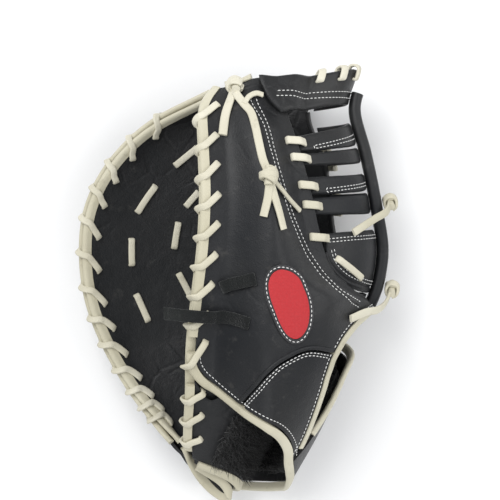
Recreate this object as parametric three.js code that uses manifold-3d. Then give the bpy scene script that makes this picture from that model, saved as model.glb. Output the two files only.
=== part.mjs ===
import * as THREE from "three";
import { mergeVertices } from "three/addons/utils/BufferGeometryUtils.js";
import Module from "manifold-3d";

// A first baseman's mitt lying on the back of its finger side, with the thumb side above it.
// X runs from the finger rim to the web's spine, Y from the heel to the web's top, Z up.

// Main sizes of the pocket, in millimetres.
const REACH = 222; // finger rim to the spine of the web, along X
const LENGTH = 330; // heel to the top of the web, along Y
const HEIGHT = 128; // table to the thumb rim, along Z

// Leather, lining, binding and lace.
const PALM_LEATHER = 3;
const BACK_LEATHER = 2.4;
const LINER_LEATHER = 2;
const WEB_LEATHER = 4.4;
const FUR_THICK = 5;
const PATCH_THICK = 1.4;
const BINDING_WIDTH = 7;
const BINDING_THICK = 5;
const WELT_WIDTH = 2.4;
const SPINE_WIDTH = 14;
const SPINE_THICK = 9;
const LACE_WIDTH = 5.8;
const LACE_THICK = 2.2;
const SUEDE_WIDTH = 9;
const SUEDE_THICK = 2;
const KNOT_RADIUS = 4.6;
const KNOT_TURN = 1.8 * Math.PI;
const KNOT_STEPS = 7;
const KNOT_LEAN = 0.35; // of the turn, from square across the lace
const KNOT_STRETCH = 1.25; // width of the turn over its height
const KNOT_REACH = 1.5; // half the knot's length over its radius

// Fits.
const GAP = 0.35; // between leather pieces that touch
const BINDING_GAP = 0.45; // between a binding and the edge it is on
const LACE_CLEAR = 0.8; // between a lace and the leather under it
const WRAP_CLEAR = 1.9; // between a lace and the bindings it is wound round
const DRAPE_CLEAR = 1; // under a loose tail
const HOLE_CLEAR = 0.3; // round a lace in its hole
const HOLE_INSET = 6; // lace hole to the edge of the leather
const WEB_INSET = 5.5; // lace hole to the edge beside the web
const LACE_END = 1; // lace beyond the far face of the leather

// Room between the palm and the back.
const STACK = BINDING_THICK + GAP; // between the middles of two leathers laced together
const RIM_FLAT = 11; // width along a laced rim where both leathers lie together
const WEB_FLAT = 5.5; // the same beside the web
const STALL_RISE = 34; // over which the back leather rises to clear a finger
const THUMB_ROOM = 20;
const FINGER_ROOM = 22;
const HEEL_ROOM = 25; // under the heel, down to the table
const HAND_END = 0.38; // share of the length where the hand's room starts to close
const STALL_START = 0.56; // share of the length where only the finger stalls are left

const { clamp, lerp, smoothstep, degToRad } = THREE.MathUtils;
const UP = new THREE.Vector3(0, 0, 1);
const SLOPE_STEP = 0.004; // step for slopes on the surfaces, as a share

// Cross-sections of the pocket, evenly spaced from the heel to the top. Each goes from the thumb
// rim over the deepest line to the finger rim, with x, y and z as shares of REACH, LENGTH, HEIGHT.
const THUMB_RIM = [
  { x: 0.382, y: 0.079, z: 0.469 },
  { x: 0.379, y: 0.164, z: 0.625 },
  { x: 0.386, y: 0.259, z: 0.766 },
  { x: 0.391, y: 0.356, z: 0.867 },
  { x: 0.409, y: 0.462, z: 0.938 },
  { x: 0.428, y: 0.571, z: 0.969 },
  { x: 0.435, y: 0.676, z: 0.961 },
  { x: 0.43, y: 0.775, z: 0.906 },
  { x: 0.43, y: 0.854, z: 0.82 },
  { x: 0.473, y: 0.902, z: 0.719 },
];
const DEEPEST = [
  { x: 0.5, y: 0.009, z: 0.344 },
  { x: 0.55, y: 0.1, z: 0.367 },
  { x: 0.645, y: 0.207, z: 0.398 },
  { x: 0.77, y: 0.318, z: 0.422 },
  { x: 0.93, y: 0.428, z: 0.445 },
  { x: 0.983, y: 0.542, z: 0.453 },
  { x: 0.963, y: 0.656, z: 0.461 },
  { x: 0.929, y: 0.77, z: 0.461 },
  { x: 0.89, y: 0.88, z: 0.453 },
  { x: 0.926, y: 0.97, z: 0.445 },
];
const FINGER_RIM = [
  { x: 0.331, y: 0.113, z: 0.344 },
  { x: 0.258, y: 0.178, z: 0.32 },
  { x: 0.171, y: 0.255, z: 0.312 },
  { x: 0.093, y: 0.348, z: 0.328 },
  { x: 0.04, y: 0.445, z: 0.359 },
  { x: 0.021, y: 0.549, z: 0.375 },
  { x: 0.039, y: 0.652, z: 0.391 },
  { x: 0.113, y: 0.749, z: 0.383 },
  { x: 0.245, y: 0.835, z: 0.375 },
  { x: 0.445, y: 0.905, z: 0.391 },
];

// For the same sections, the slopes of the leather at the rims in degrees, the room for the hand
// over the palm and at the deepest line as shares of HEIGHT, and the bow of the finger side
// towards the heel as a share of LENGTH.
const SHAPES = [
  { thumbTilt: 5, fingerTilt: 25, hand: 0.24, deepHand: 0.25, bow: 0.045 },
  { thumbTilt: 8, fingerTilt: 28, hand: 0.26, deepHand: 0.28, bow: 0.02 },
  { thumbTilt: 10, fingerTilt: 30, hand: 0.27, deepHand: 0.27, bow: 0 },
  { thumbTilt: 12, fingerTilt: 32, hand: 0.25, deepHand: 0.2, bow: 0 },
  { thumbTilt: 13, fingerTilt: 34, hand: 0.2, deepHand: 0.06, bow: 0 },
  { thumbTilt: 14, fingerTilt: 35, hand: 0.14, deepHand: 0.05, bow: 0 },
  { thumbTilt: 14, fingerTilt: 35, hand: 0.1, deepHand: 0.05, bow: 0 },
  { thumbTilt: 12, fingerTilt: 34, hand: 0.1, deepHand: 0.05, bow: 0 },
  { thumbTilt: 8, fingerTilt: 32, hand: 0.1, deepHand: 0.05, bow: 0 },
  { thumbTilt: 4, fingerTilt: 28, hand: 0.1, deepHand: 0.05, bow: 0 },
];

// Lengths of the curve handles of a cross-section, as shares of its arm.
const HANDLES = { thumbRim: 0.35, thumbDeep: 0.3, fingerDeep: 0.2, fingerRim: 0.32 };

// Places on the leather are given by q across it (0 at the thumb rim, 1 at the deepest line, 2
// at the finger rim) and by v along it (0 at the heel, 1 at the top).

// Edges of the web's window. Below it they only set how the palm is divided.
const WINDOW_FLOOR = 0.478;
const WINDOW = [
  { v: 0, thumb: 0.62, finger: 1.3 },
  { v: 0.4, thumb: 0.74, finger: 1.2 },
  { v: WINDOW_FLOOR, thumb: 0.82, finger: 1.1 },
  { v: 0.49, thumb: 0.735, finger: 1.13 },
  { v: 0.51, thumb: 0.64, finger: 1.155 },
  { v: 0.54, thumb: 0.578, finger: 1.173 },
  { v: 0.574, thumb: 0.545, finger: 1.18 },
  { v: 0.62, thumb: 0.525, finger: 1.18 },
  { v: 0.69, thumb: 0.508, finger: 1.18 },
  { v: 0.76, thumb: 0.489, finger: 1.18 },
  { v: 0.83, thumb: 0.468, finger: 1.21 },
  { v: 0.9, thumb: 0.443, finger: 1.25 },
  { v: 1, thumb: 0.42, finger: 1.25 },
];

// Edge of the finger back beside the strap and the open back, up to the window.
const FINGER_OPEN = [
  { v: 0, q: 1.45 },
  { v: 0.35, q: 1.435 },
  { v: 0.4, q: 1.38 },
  { v: 0.44, q: 1.2 },
  { v: 0.465, q: 1.09 },
  { v: WINDOW_FLOOR, q: 1.1 },
];

// The edges below run at even steps. WRIST goes from the thumb rim round the wrist to the
// fingers, ARCH is the seam over the strap, and OPEN is the edge of the open back.
const WRIST = [
  { q: 0, v: 0.327 },
  { q: 0.02, v: 0.29 },
  { q: 0.12, v: 0.26 },
  { q: 0.33, v: 0.244 },
  { q: 0.5, v: 0.239 },
  { q: 0.627, v: 0.227 },
  { q: 0.74, v: 0.203 },
  { q: 0.82, v: 0.172 },
  { q: 0.9, v: 0.145 },
  { q: 0.99, v: 0.112 },
  { q: 1.04, v: 0.065 },
  { q: 1.15, v: 0.022 },
  { q: 1.42, v: 0.012 },
];
const ARCH = [
  { q: 0.33, v: 0.244 },
  { q: 0.352, v: 0.285 },
  { q: 0.391, v: 0.344 },
  { q: 0.471, v: 0.38 },
  { q: 0.557, v: 0.398 },
  { q: 0.69, v: 0.398 },
];
const OPEN = [
  { q: 0.806, v: 0.178 },
  { q: 0.795, v: 0.215 },
  { q: 0.776, v: 0.256 },
  { q: 0.755, v: 0.3 },
  { q: 0.735, v: 0.335 },
  { q: 0.712, v: 0.365 },
  { q: 0.694, v: 0.388 },
  { q: 0.703, v: 0.408 },
  { q: 0.73, v: 0.426 },
  { q: 0.8, v: 0.447 },
  { q: 0.93, v: 0.466 },
];
const FLAP_TOP = [
  { q: 0.85, v: 0.185 },
  { q: 0.885, v: 0.235 },
  { q: 0.93, v: 0.29 },
  { q: 0.955, v: 0.335 },
  { q: 0.99, v: 0.366 },
  { q: 1.06, v: 0.38 },
  { q: 1.16, v: 0.378 },
  { q: 1.27, v: 0.366 },
  { q: 1.38, v: 0.345 },
];
const LINER_TOP = [
  { q: 0, v: 0.25 },
  { q: 0.15, v: 0.21 },
  { q: 0.3, v: 0.25 },
  { q: 0.45, v: 0.32 },
  { q: 0.7, v: 0.34 },
  { q: 1, v: 0.34 },
  { q: 1.2, v: 0.34 },
  { q: 1.4, v: 0.33 },
];

// Where the arch meets the open edge, and where the pieces share the wrist's edge.
const ARCH_END = 0.65;
const ARCH_GAP = 0.02;
const STRAP_WRIST = { thumb: 0.25, strapFrom: 0.262, strapTo: 0.565, flapFrom: 0.6 };

// Bars of the web: the lower and upper edge of each at the thumb and at the spine.
const WEB_BARS = [
  { name: "web_bar_upper", thumbLow: 0.78, thumbHigh: 0.816, spineLow: 0.806, spineHigh: 0.856 },
  { name: "web_roll_upper", thumbLow: 0.748, thumbHigh: 0.774, spineLow: 0.766, spineHigh: 0.8 },
  { name: "web_bar_lower", thumbLow: 0.683, thumbHigh: 0.722, spineLow: 0.706, spineHigh: 0.742 },
  { name: "web_roll_lower", thumbLow: 0.64, thumbHigh: 0.677, spineLow: 0.655, spineHigh: 0.7 },
];
const FAN_FLOOR = [
  { q: 0.59, v: 0.565 },
  { q: 0.62, v: 0.538 },
  { q: 0.68, v: 0.515 },
  { q: 0.76, v: 0.5 },
  { q: 0.87, v: 0.491 },
  { q: 1, v: 0.489 },
  { q: 1.07, v: 0.493 },
  { q: 1.11, v: 0.505 },
  { q: 1.135, v: 0.53 },
];
const FAN_TOP = [
  { q: 0.585, v: 0.6 },
  { q: 0.79, v: 0.612 },
  { q: 1, v: 0.618 },
  { q: 1.135, v: 0.605 },
];
const TOP_BAR_LEFT = [
  { q: 0.424, v: 0.869 },
  { q: 0.36, v: 0.903 },
  { q: 0.313, v: 0.936 },
  { q: 0.27, v: 0.97 },
  { q: 0.245, v: 1 },
];
const TOP_BAR_FLOOR = [
  { q: 0.424, v: 0.869 },
  { q: 0.6, v: 0.884 },
  { q: 0.8, v: 0.895 },
  { q: 1, v: 0.9 },
  { q: 1.21, v: 0.9 },
];
const SPINE = { from: 0.462, to: 0.94 };

// Lace holes along the two rims and beside the web, as shares of the length.
const THUMB_HOLES = [
  0.905, 0.809, 0.737, 0.668, 0.604, 0.538, 0.476, 0.412, 0.35, 0.225, 0.17, 0.105, 0.05,
];
const FINGER_HOLES = [
  0.092, 0.135, 0.18, 0.235, 0.3, 0.37, 0.435, 0.517, 0.599, 0.677, 0.741, 0.804, 0.869, 0.929,
];
const WEB_HOLES = [0.8, 0.761, 0.7, 0.658, 0.59];
const WRAP_SLANT = 0.6; // share of the step to the next hole over which a wrap crosses the rim
const TOP_LOOPS = [0.64, 0.79, 0.92];

// Ends of the short laces that draw the finger side of the pocket together.
const POCKET_LACES = [
  { q0: 1.81, v0: 0.729, q1: 1.847, v1: 0.663 },
  { q0: 1.858, v0: 0.596, q1: 1.857, v1: 0.532 },
  { q0: 1.848, v0: 0.459, q1: 1.812, v1: 0.393 },
  { q0: 1.715, v0: 0.828, q1: 1.768, v1: 0.783 },
  { q0: 1.645, v0: 0.712, q1: 1.679, v1: 0.678 },
  { q0: 1.7, v0: 0.636, q1: 1.713, v1: 0.575 },
  { q0: 1.696, v0: 0.512, q1: 1.656, v1: 0.461 },
];

// Loose laces. rise is the height over the leather, on top of DRAPE_CLEAR.
const THUMB_KNOT = { q: 0.15, v: 0.955, rise: 4 };
const PAST_KNOT = { q: 0.267, v: 0.7, rise: 4 };
const THUMB_TIE = [
  THUMB_KNOT,
  { q: 0.168, v: 0.925, rise: 2 },
  { q: 0.215, v: 0.885, rise: 0 },
  { q: 0.244, v: 0.855, rise: 0 },
  { q: 0.25, v: 0.815, rise: 0 },
  { q: 0.252, v: 0.777, rise: 0 },
  { q: 0.257, v: 0.737, rise: 1 },
  PAST_KNOT,
  { q: 0.264, v: 0.665, rise: 1 },
  { q: 0.245, v: 0.622, rise: 0 },
];
const THUMB_TIE_END = [
  PAST_KNOT,
  { q: 0.28, v: 0.67, rise: 1 },
  { q: 0.3, v: 0.633, rise: 0 },
  { q: 0.319, v: 0.598, rise: 0 },
];
const THUMB_TIE_LOOP = [
  PAST_KNOT,
  { q: 0.31, v: 0.682, rise: 0.5 },
  { q: 0.37, v: 0.662, rise: 0 },
  { q: 0.435, v: 0.642, rise: 0 },
];
const THUMB_TIE_CURL = [
  { q: 0.215, v: 0.885, rise: 0.5 },
  { q: 0.235, v: 0.908, rise: 0.5 },
  { q: 0.265, v: 0.921, rise: 0.5 },
  { q: 0.3, v: 0.92, rise: 0.5 },
];
const THUMB_TIE_TAIL = [
  THUMB_KNOT,
  { q: 0.14, v: 0.925, rise: 1 },
  { q: 0.112, v: 0.868, rise: 0 },
  { q: 0.08, v: 0.808, rise: 0 },
];
const UPPER_KNOT = { q: 0.999, v: 0.672, rise: 14 };
const UPPER_TIE_TAIL = [
  UPPER_KNOT,
  { q: 0.93, v: 0.65, rise: 11 },
  { q: 0.875, v: 0.637, rise: 5 },
  { q: 0.81, v: 0.622, rise: 1.5 },
  { q: 0.74, v: 0.606, rise: 0.6 },
];
const LOWER_KNOT = { q: 0.995, v: 0.5, rise: 8.5 };
const LOWER_TIE_TAIL = [
  LOWER_KNOT,
  { q: 0.95, v: 0.474, rise: 6 },
  { q: 0.88, v: 0.461, rise: 4.2 },
  { q: 0.8, v: 0.455, rise: 1.8 },
  { q: 0.716, v: 0.445, rise: 0.6 },
];
const LONG_SUEDE = [
  { q: 0.235, v: 0.416, rise: 0 },
  { q: 0.19, v: 0.415, rise: 0 },
  { q: 0.14, v: 0.413, rise: 1 },
  { q: 0.095, v: 0.411, rise: 3.5 },
  { q: 0.05, v: 0.411, rise: 5.5 },
  { q: 0, v: 0.411, rise: 6.2 },
];
const SUEDE_TIP = { reach: 27, drop: 9 }; // how far the long strip hangs past the rim
const SHORT_SUEDE = { q0: 0.1, v0: 0.472, q1: 0.225, v1: 0.498 };
const FAN_STUB = { q0: 0.652, v0: 0.549, q1: 0.82, v1: 0.511 };

// Oval patch: its middle and its two half-axes on the leather.
const PATCH = {
  q: 0.389,
  v: 0.4659,
  acrossQ: 0.1,
  acrossV: 0.003,
  alongQ: -0.072,
  alongV: 0.0655,
};

// Values along a table: evenly spaced rows on a smooth curve, or rows at given v.
function column(rows, name, t) {
  const last = rows.length - 1;
  const at = clamp(t, 0, 1) * last;
  const i = Math.min(Math.floor(at), last - 1);
  const f = at - i;
  const b = rows[i][name];
  const c = rows[i + 1][name];
  const a = i > 0 ? rows[i - 1][name] : 2 * b - c;
  const d = i < last - 1 ? rows[i + 2][name] : 2 * c - b;
  return b + 0.5 * f * (c - a + f * (2 * a - 5 * b + 4 * c - d + f * (3 * (b - c) + d - a)));
}
function atV(rows, name, v) {
  const i = clamp(rows.findIndex((row) => row.v >= v), 1, rows.length - 1);
  const { [name]: before, v: v0 } = rows[i - 1];
  const { [name]: after, v: v1 } = rows[i];
  return lerp(before, after, clamp((v - v0) / (v1 - v0), 0, 1));
}
const along = (rows) => (t) => [column(rows, "q", t), column(rows, "v", t)];
const part = (edge, from, to) => (t) => edge(lerp(from, to, t));
const straight = (from, to) => (t) => [lerp(from[0], to[0], t), lerp(from[1], to[1], t)];
const shifted = (edge, dq, dv) => (t) => [edge(t)[0] + dq, edge(t)[1] + dv];
const joined = (first, second, share) => (t) =>
  t < share - 1e-9 ? first(t / share) : second((t - share) / (1 - share));
const spaced = (from, to, steps) => Array.from({ length: steps + 1 }, (_, i) => lerp(from, to, i / steps));

const even = (steps) => spaced(0, 1, steps);

const sections = new Map();

// The two arms of the pocket's cross-section at v, as curves.
function sectionAt(v) {
  const key = v.toFixed(5);
  if (sections.has(key)) return sections.get(key);
  const size = new THREE.Vector3(REACH, LENGTH, HEIGHT);
  const point = (line) =>
    new THREE.Vector3(column(line, "x", v), column(line, "y", v), column(line, "z", v)).multiply(size);
  const thumb = point(THUMB_RIM);
  const deep = point(DEEPEST);
  const finger = point(FINGER_RIM);
  const rimHandle = (rim, tilt, share, bow) => {
    const length = rim.distanceTo(deep) * share;
    const angle = degToRad(column(SHAPES, tilt, v));
    const y = (deep.y - rim.y) * share - bow;
    return new THREE.Vector3(length * Math.cos(angle), y, -length * Math.sin(angle)).add(rim);
  };
  const bow = column(SHAPES, "bow", v) * LENGTH;
  const rise = new THREE.Vector3(0, bow, finger.distanceTo(deep) * HANDLES.fingerDeep);
  const thumbRise = rise.clone().setLength(thumb.distanceTo(deep) * HANDLES.thumbDeep);
  const thumbArm = new THREE.CubicBezierCurve3(
    thumb,
    rimHandle(thumb, "thumbTilt", HANDLES.thumbRim, 0),
    deep.clone().add(thumbRise),
    deep,
  );
  const fingerArm = new THREE.CubicBezierCurve3(
    deep,
    deep.clone().sub(rise),
    rimHandle(finger, "fingerTilt", HANDLES.fingerRim, bow),
    finger,
  );
  const made = {
    thumbArm,
    fingerArm,
    thumbLength: thumbArm.getLength(),
    fingerLength: fingerArm.getLength(),
  };
  sections.set(key, made);
  return made;
}

// Length of the arm that q lies on, for turning a length into a share.
const armLength = (q, v) => (q <= 1 ? sectionAt(v).thumbLength : sectionAt(v).fingerLength);

// Middle of the palm leather.
function palmPoint(q, v) {
  const { thumbArm, fingerArm } = sectionAt(v);
  return q <= 1 ? thumbArm.getPointAt(clamp(q, 0, 1)) : fingerArm.getPointAt(clamp(q - 1, 0, 1));
}

// Point, slopes and outward normal of a surface. Outward is away from the pocket.
function frameOn(surface, q, v) {
  const q0 = Math.max(q - SLOPE_STEP, 0);
  const q1 = Math.min(q + SLOPE_STEP, 2);
  const v0 = Math.max(v - SLOPE_STEP, 0);
  const v1 = Math.min(v + SLOPE_STEP, 1);
  const across = surface(q1, v).sub(surface(q0, v)).normalize();
  const lengthwise = surface(q, v1).sub(surface(q, v0)).normalize();
  const normal = new THREE.Vector3().crossVectors(across, lengthwise).normalize();
  return { point: surface(q, v), across, lengthwise, normal };
}

// How far the back leather stands off the palm leather, between their middles.
function backLift(q, v) {
  const { thumbLength, fingerLength } = sectionAt(v);
  const onThumb = q <= 1;
  const fromRim = onThumb ? q * thumbLength : (2 - q) * fingerLength;
  const fromWeb = onThumb
    ? (atV(WINDOW, "thumb", v) - q) * thumbLength
    : (q - atV(WINDOW, "finger", v)) * fingerLength;
  const rise = smoothstep(fromRim, RIM_FLAT, RIM_FLAT + STALL_RISE);
  const fall = smoothstep(fromWeb, WEB_FLAT, WEB_FLAT + STALL_RISE);
  const stall = (onThumb ? THUMB_ROOM : FINGER_ROOM) * fall;
  const deepHand = column(SHAPES, "deepHand", v) * HEIGHT;
  const hand = onThumb
    ? lerp(column(SHAPES, "hand", v) * HEIGHT, deepHand, smoothstep(q, 0.55, 1))
    : lerp(deepHand, HEEL_ROOM, smoothstep(q, 1.05, 1.5));
  return STACK + rise * lerp(hand, stall, smoothstep(v, HAND_END, STALL_START));
}

// Surface a given depth inside the middle of the back leather, kept the given height over the table.
const insideBack = (depth, floor) => (q, v) => {
  const { point, normal } = frameOn(palmPoint, q, v);
  point.addScaledVector(normal, backLift(q, v) - depth);
  point.z = Math.max(point.z, floor);
  return point;
};
const backPoint = insideBack(0, BACK_LEATHER / 2);

// A surface at a given height over another one.
const over = (surface, height) => (q, v) => {
  const { point, normal } = frameOn(surface, q, v);
  return point.addScaledVector(normal, typeof height === "function" ? height(q, v) : height);
};

const wasm = await Module();
wasm.setup();

// Geometry, solids and back.
function geometryOf(positions, triangles) {
  const made = new THREE.BufferGeometry();
  const numbers = positions.flatMap((p) => p.toArray());
  made.setAttribute("position", new THREE.Float32BufferAttribute(numbers, 3));
  made.setIndex(triangles);
  return made;
}
function solidOf(geometry) {
  const merged = mergeVertices(geometry, 1e-4);
  return new wasm.Manifold(
    new wasm.Mesh({
      numProp: 3,
      vertProperties: merged.attributes.position.array,
      triVerts: new Uint32Array(merged.index.array),
    }),
  );
}
function geometryFrom(solid) {
  const mesh = solid.getMesh();
  const made = new THREE.BufferGeometry();
  made.setAttribute("position", new THREE.BufferAttribute(mesh.vertProperties, 3));
  made.setIndex(new THREE.BufferAttribute(mesh.triVerts, 1));
  return made;
}

// A leather wall on a surface, over a grid of [q, v] places. keep says which cells are leather.
function sheet(surface, grid, thick, keep = () => true) {
  const columns = grid[0].length;
  const outer = [];
  const inner = [];
  for (const [q, v] of grid.flat()) {
    const { point, normal } = frameOn(surface, q, v);
    outer.push(point.clone().addScaledVector(normal, thick / 2));
    inner.push(point.clone().addScaledVector(normal, -thick / 2));
  }
  const count = outer.length;
  const triangles = [];
  const edges = new Map();
  for (let i = 0; i < grid.length - 1; i++) {
    for (let j = 0; j < columns - 1; j++) {
      if (!keep(i, j)) continue;
      const a = i * columns + j;
      const b = a + 1;
      const c = b + columns;
      const d = a + columns;
      const mainIsShorter = outer[a].distanceTo(outer[c]) < outer[b].distanceTo(outer[d]);
      for (const [i0, i1, i2] of mainIsShorter ? [[a, b, c], [a, c, d]] : [[a, b, d], [b, c, d]]) {
        triangles.push(i0, i1, i2, i0 + count, i2 + count, i1 + count);
      }
      for (const [from, to] of [[a, b], [b, c], [c, d], [d, a]]) {
        if (!edges.delete(to + "," + from)) edges.set(from + "," + to, [from, to]);
      }
    }
  }
  for (const [from, to] of edges.values()) {
    triangles.push(to, from, from + count, to, from + count, to + count);
  }
  return solidOf(geometryOf([...outer, ...inner], triangles));
}

// Grid of [q, v] places inside four edges, each given from its low end to its high end, at the
// given shares across and up.
function gridInside({ bottom, right, top, left }, columns, rows) {
  const corners = [bottom(0), bottom(1), top(0), top(1)];
  return rows.map((b) =>
    columns.map((a) =>
      [0, 1].map((k) => {
        const sides = (1 - b) * bottom(a)[k] + b * top(a)[k] + (1 - a) * left(b)[k] + a * right(b)[k];
        const low = (1 - a) * corners[0][k] + a * corners[1][k];
        const high = (1 - a) * corners[2][k] + a * corners[3][k];
        return sides - (1 - b) * low - b * high;
      }),
    ),
  );
}

// A closed sweep. Each station has a centre and two directions, and outline is the section.
function sweep(stations, outline) {
  const n = outline.length;
  const positions = stations.flatMap(({ centre, wide, deep }) =>
    outline.map(([x, y]) => centre.clone().addScaledVector(wide, x).addScaledVector(deep, y)),
  );
  const triangles = [];
  for (let i = 0; i < stations.length - 1; i++) {
    for (let j = 0; j < n; j++) {
      const a = i * n + j;
      const b = i * n + ((j + 1) % n);
      triangles.push(a, b, b + n, a, b + n, a + n);
    }
  }
  const end = positions.length - n;
  for (let j = 1; j < n - 1; j++) {
    triangles.push(0, j + 1, j, end, end + j, end + j + 1);
  }
  const solid = solidOf(geometryOf(positions, triangles));
  if (solid.volume() > 0) return solid;
  return solidOf(geometryOf(positions, triangles.reverse()));
}

const boxOutline = (wide, thick) => [
  [-wide / 2, -thick / 2],
  [wide / 2, -thick / 2],
  [wide / 2, thick / 2],
  [-wide / 2, thick / 2],
];

// A flat lace through points, each with the direction that its width lies along. Where it folds
// sharply, its width lies along the fold.
const SHARP_FOLD = 0.6; // sine of the turn
function ribbon(points, wide = LACE_WIDTH, thick = LACE_THICK, grow = 0) {
  const stations = points.map(({ at, side }, i) => {
    const arriving = at.clone().sub(points[Math.max(i - 1, 0)].at);
    const leaving = points[Math.min(i + 1, points.length - 1)].at.clone().sub(at);
    if (i === 0) arriving.copy(leaving);
    if (i === points.length - 1) leaving.copy(arriving);
    arriving.normalize();
    const forward = arriving.clone().add(leaving.normalize()).normalize();
    const fold = new THREE.Vector3().crossVectors(arriving, leaving);
    const across =
      fold.length() > SHARP_FOLD
        ? fold.multiplyScalar(Math.sign(fold.dot(side)))
        : side.clone().addScaledVector(forward, -side.dot(forward));
    across.normalize();
    const deep = new THREE.Vector3().crossVectors(forward, across);
    deep.multiplyScalar(1 / Math.max(forward.dot(arriving), 0.7));
    return { centre: at.clone(), wide: across, deep, forward };
  });
  stations[0].centre.addScaledVector(stations[0].forward, -grow);
  stations.at(-1).centre.addScaledVector(stations.at(-1).forward, grow);
  return sweep(stations, boxOutline(wide + 2 * grow, thick + 2 * grow));
}

// Rolled binding beyond an edge of a leather. Going along the places, the leather is on the
// left as seen from outside.
const BINDING_OUTLINE = [
  [0, -0.4],
  [0.35, -0.5],
  [1, -0.25],
  [1, 0.25],
  [0.35, 0.5],
  [0, 0.4],
];
function binding(surface, places, wide = BINDING_WIDTH, thick = BINDING_THICK) {
  const frames = places.map(([q, v]) => frameOn(surface, q, v));
  const stations = frames.map(({ point, normal }, i) => {
    const back = frames[Math.max(i - 1, 0)].point;
    const next = frames[Math.min(i + 1, frames.length - 1)].point;
    const forward = next.clone().sub(back).normalize();
    const away = new THREE.Vector3().crossVectors(forward, normal).normalize();
    return { centre: point, wide: away, deep: new THREE.Vector3().crossVectors(away, forward) };
  });
  return sweep(stations, BINDING_OUTLINE.map(([x, y]) => [BINDING_GAP + x * wide, y * thick]));
}

// Materials.
const material = (color, roughness) => new THREE.MeshStandardMaterial({ color, roughness, metalness: 0 });
const BLACK = material(0x2c2c2b, 0.55);
const PALM = material(0x252524, 0.6);
const CREAM = material(0xd9d6bd, 0.65);
const SUEDE = material(0x1d211f, 0.95);
const FUR = material(0x0e0d0e, 1);
const RED = material(0xc0282b, 0.45);

// The pieces so far, as solids that laces can still cut their holes in.
const pieces = new Map();
const add = (name, solid, finish) => pieces.set(name, { solid, finish });
function cut(names, tool) {
  for (const name of names) {
    const piece = pieces.get(name);
    piece.solid = piece.solid.subtract(tool);
  }
}

// Palm, from rim to rim round the web's window.
const webRows = WINDOW.map(({ v }) => v).filter((v) => v >= WINDOW_FLOOR);
const PALM_ROWS = [0, 0.06, 0.12, 0.19, 0.26, 0.33, 0.4, 0.44, ...webRows];
const PALM_CELLS = { thumb: 5, web: 4, finger: 7 };
const palmGrid = PALM_ROWS.map((v) => {
  const thumb = atV(WINDOW, "thumb", v);
  const finger = atV(WINDOW, "finger", v);
  return [
    ...spaced(0, thumb, PALM_CELLS.thumb).slice(0, -1),
    ...spaced(thumb, finger, PALM_CELLS.web).slice(0, -1),
    ...spaced(finger, 2, PALM_CELLS.finger),
  ].map((q) => [q, v]);
});
const inWindow = (i, j) =>
  PALM_ROWS[i] >= WINDOW_FLOOR && j >= PALM_CELLS.thumb && j < PALM_CELLS.thumb + PALM_CELLS.web;
add("palm", sheet(palmPoint, palmGrid, PALM_LEATHER, (i, j) => !inWindow(i, j)), PALM);

// Thumb back, from the wrist and the strap's seam to the top.
const wrist = along(WRIST);
const arch = along(ARCH);
const open = along(OPEN);
const webEdge = (side) => (t) => {
  const knots = WINDOW.filter(({ v }) => v >= WINDOW_FLOOR);
  const i = Math.min(Math.floor(t * (knots.length - 1)), knots.length - 2);
  const f = t * (knots.length - 1) - i;
  return [lerp(knots[i][side], knots[i + 1][side], f), lerp(knots[i].v, knots[i + 1].v, f)];
};
const WEB_STEPS = WINDOW.filter(({ v }) => v > WINDOW_FLOOR).length;
const OPEN_STEPS = 5;
const THUMB_ROWS = WEB_STEPS + OPEN_STEPS;
const THUMB_SHARES = [0, 0.09, 0.25, 0.38, 0.5, 0.64, 0.78, 0.92, 1];
const WRIST_SHARE = 0.5; // share of the lower edge that lies on the wrist
const thumbBackGrid = gridInside(
  {
    bottom: joined(part(wrist, 0, STRAP_WRIST.thumb), arch, WRIST_SHARE),
    right: joined(part(open, ARCH_END, 1), webEdge("thumb"), OPEN_STEPS / THUMB_ROWS),
    top: straight([0, 1], webEdge("thumb")(1)),
    left: straight(wrist(0), [0, 1]),
  },
  THUMB_SHARES,
  even(THUMB_ROWS),
);
add("thumb_back", sheet(backPoint, thumbBackGrid, BACK_LEATHER), BLACK);
const roomFor = (surface, grid, thick, keep) => sheet(surface, grid, thick + 2 * GAP, keep);
const thumbBackRoom = roomFor(backPoint, thumbBackGrid, BACK_LEATHER);

// Finger back, on the table.
const fingerEdge = (v) => (v < WINDOW_FLOOR ? atV(FINGER_OPEN, "q", v) : atV(WINDOW, "finger", v));
const FINGER_SHARES = [0, 0.055, 0.2, 0.38, 0.58, 0.78, 0.945, 1];
const FINGER_HEEL = 0.02;
const fingerBackGrid = PALM_ROWS.map((v) =>
  FINGER_SHARES.map((share) => [lerp(fingerEdge(v), 2, share), Math.max(v, FINGER_HEEL)]),
);
add("finger_back", sheet(backPoint, fingerBackGrid, BACK_LEATHER), BLACK);

// Wrist strap on the thumb side and wrist flap on the finger side, with fur inside each.
const STRAP_CELLS = 7;
const FLAP_CELLS = 10;
const strapEdges = {
  bottom: part(wrist, STRAP_WRIST.strapFrom, STRAP_WRIST.strapTo),
  right: part(open, 0, ARCH_END - ARCH_GAP),
  top: shifted(part(arch, 0.18, 0.985), 0.014, -0.01),
};
strapEdges.left = straight(strapEdges.bottom(0), strapEdges.top(0));
const strapGrid = gridInside(strapEdges, even(STRAP_CELLS), even(OPEN_STEPS));
add("wrist_strap", sheet(backPoint, strapGrid, BACK_LEATHER), BLACK);
cut(["wrist_strap"], thumbBackRoom);
const flapEdges = { bottom: part(wrist, STRAP_WRIST.flapFrom, 1), top: along(FLAP_TOP) };
flapEdges.left = straight(flapEdges.bottom(0), flapEdges.top(0));
flapEdges.right = straight(flapEdges.bottom(1), flapEdges.top(1));
const flapGrid = gridInside(flapEdges, even(FLAP_CELLS), even(4));
add("wrist_flap", sheet(backPoint, flapGrid, BACK_LEATHER), BLACK);
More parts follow.
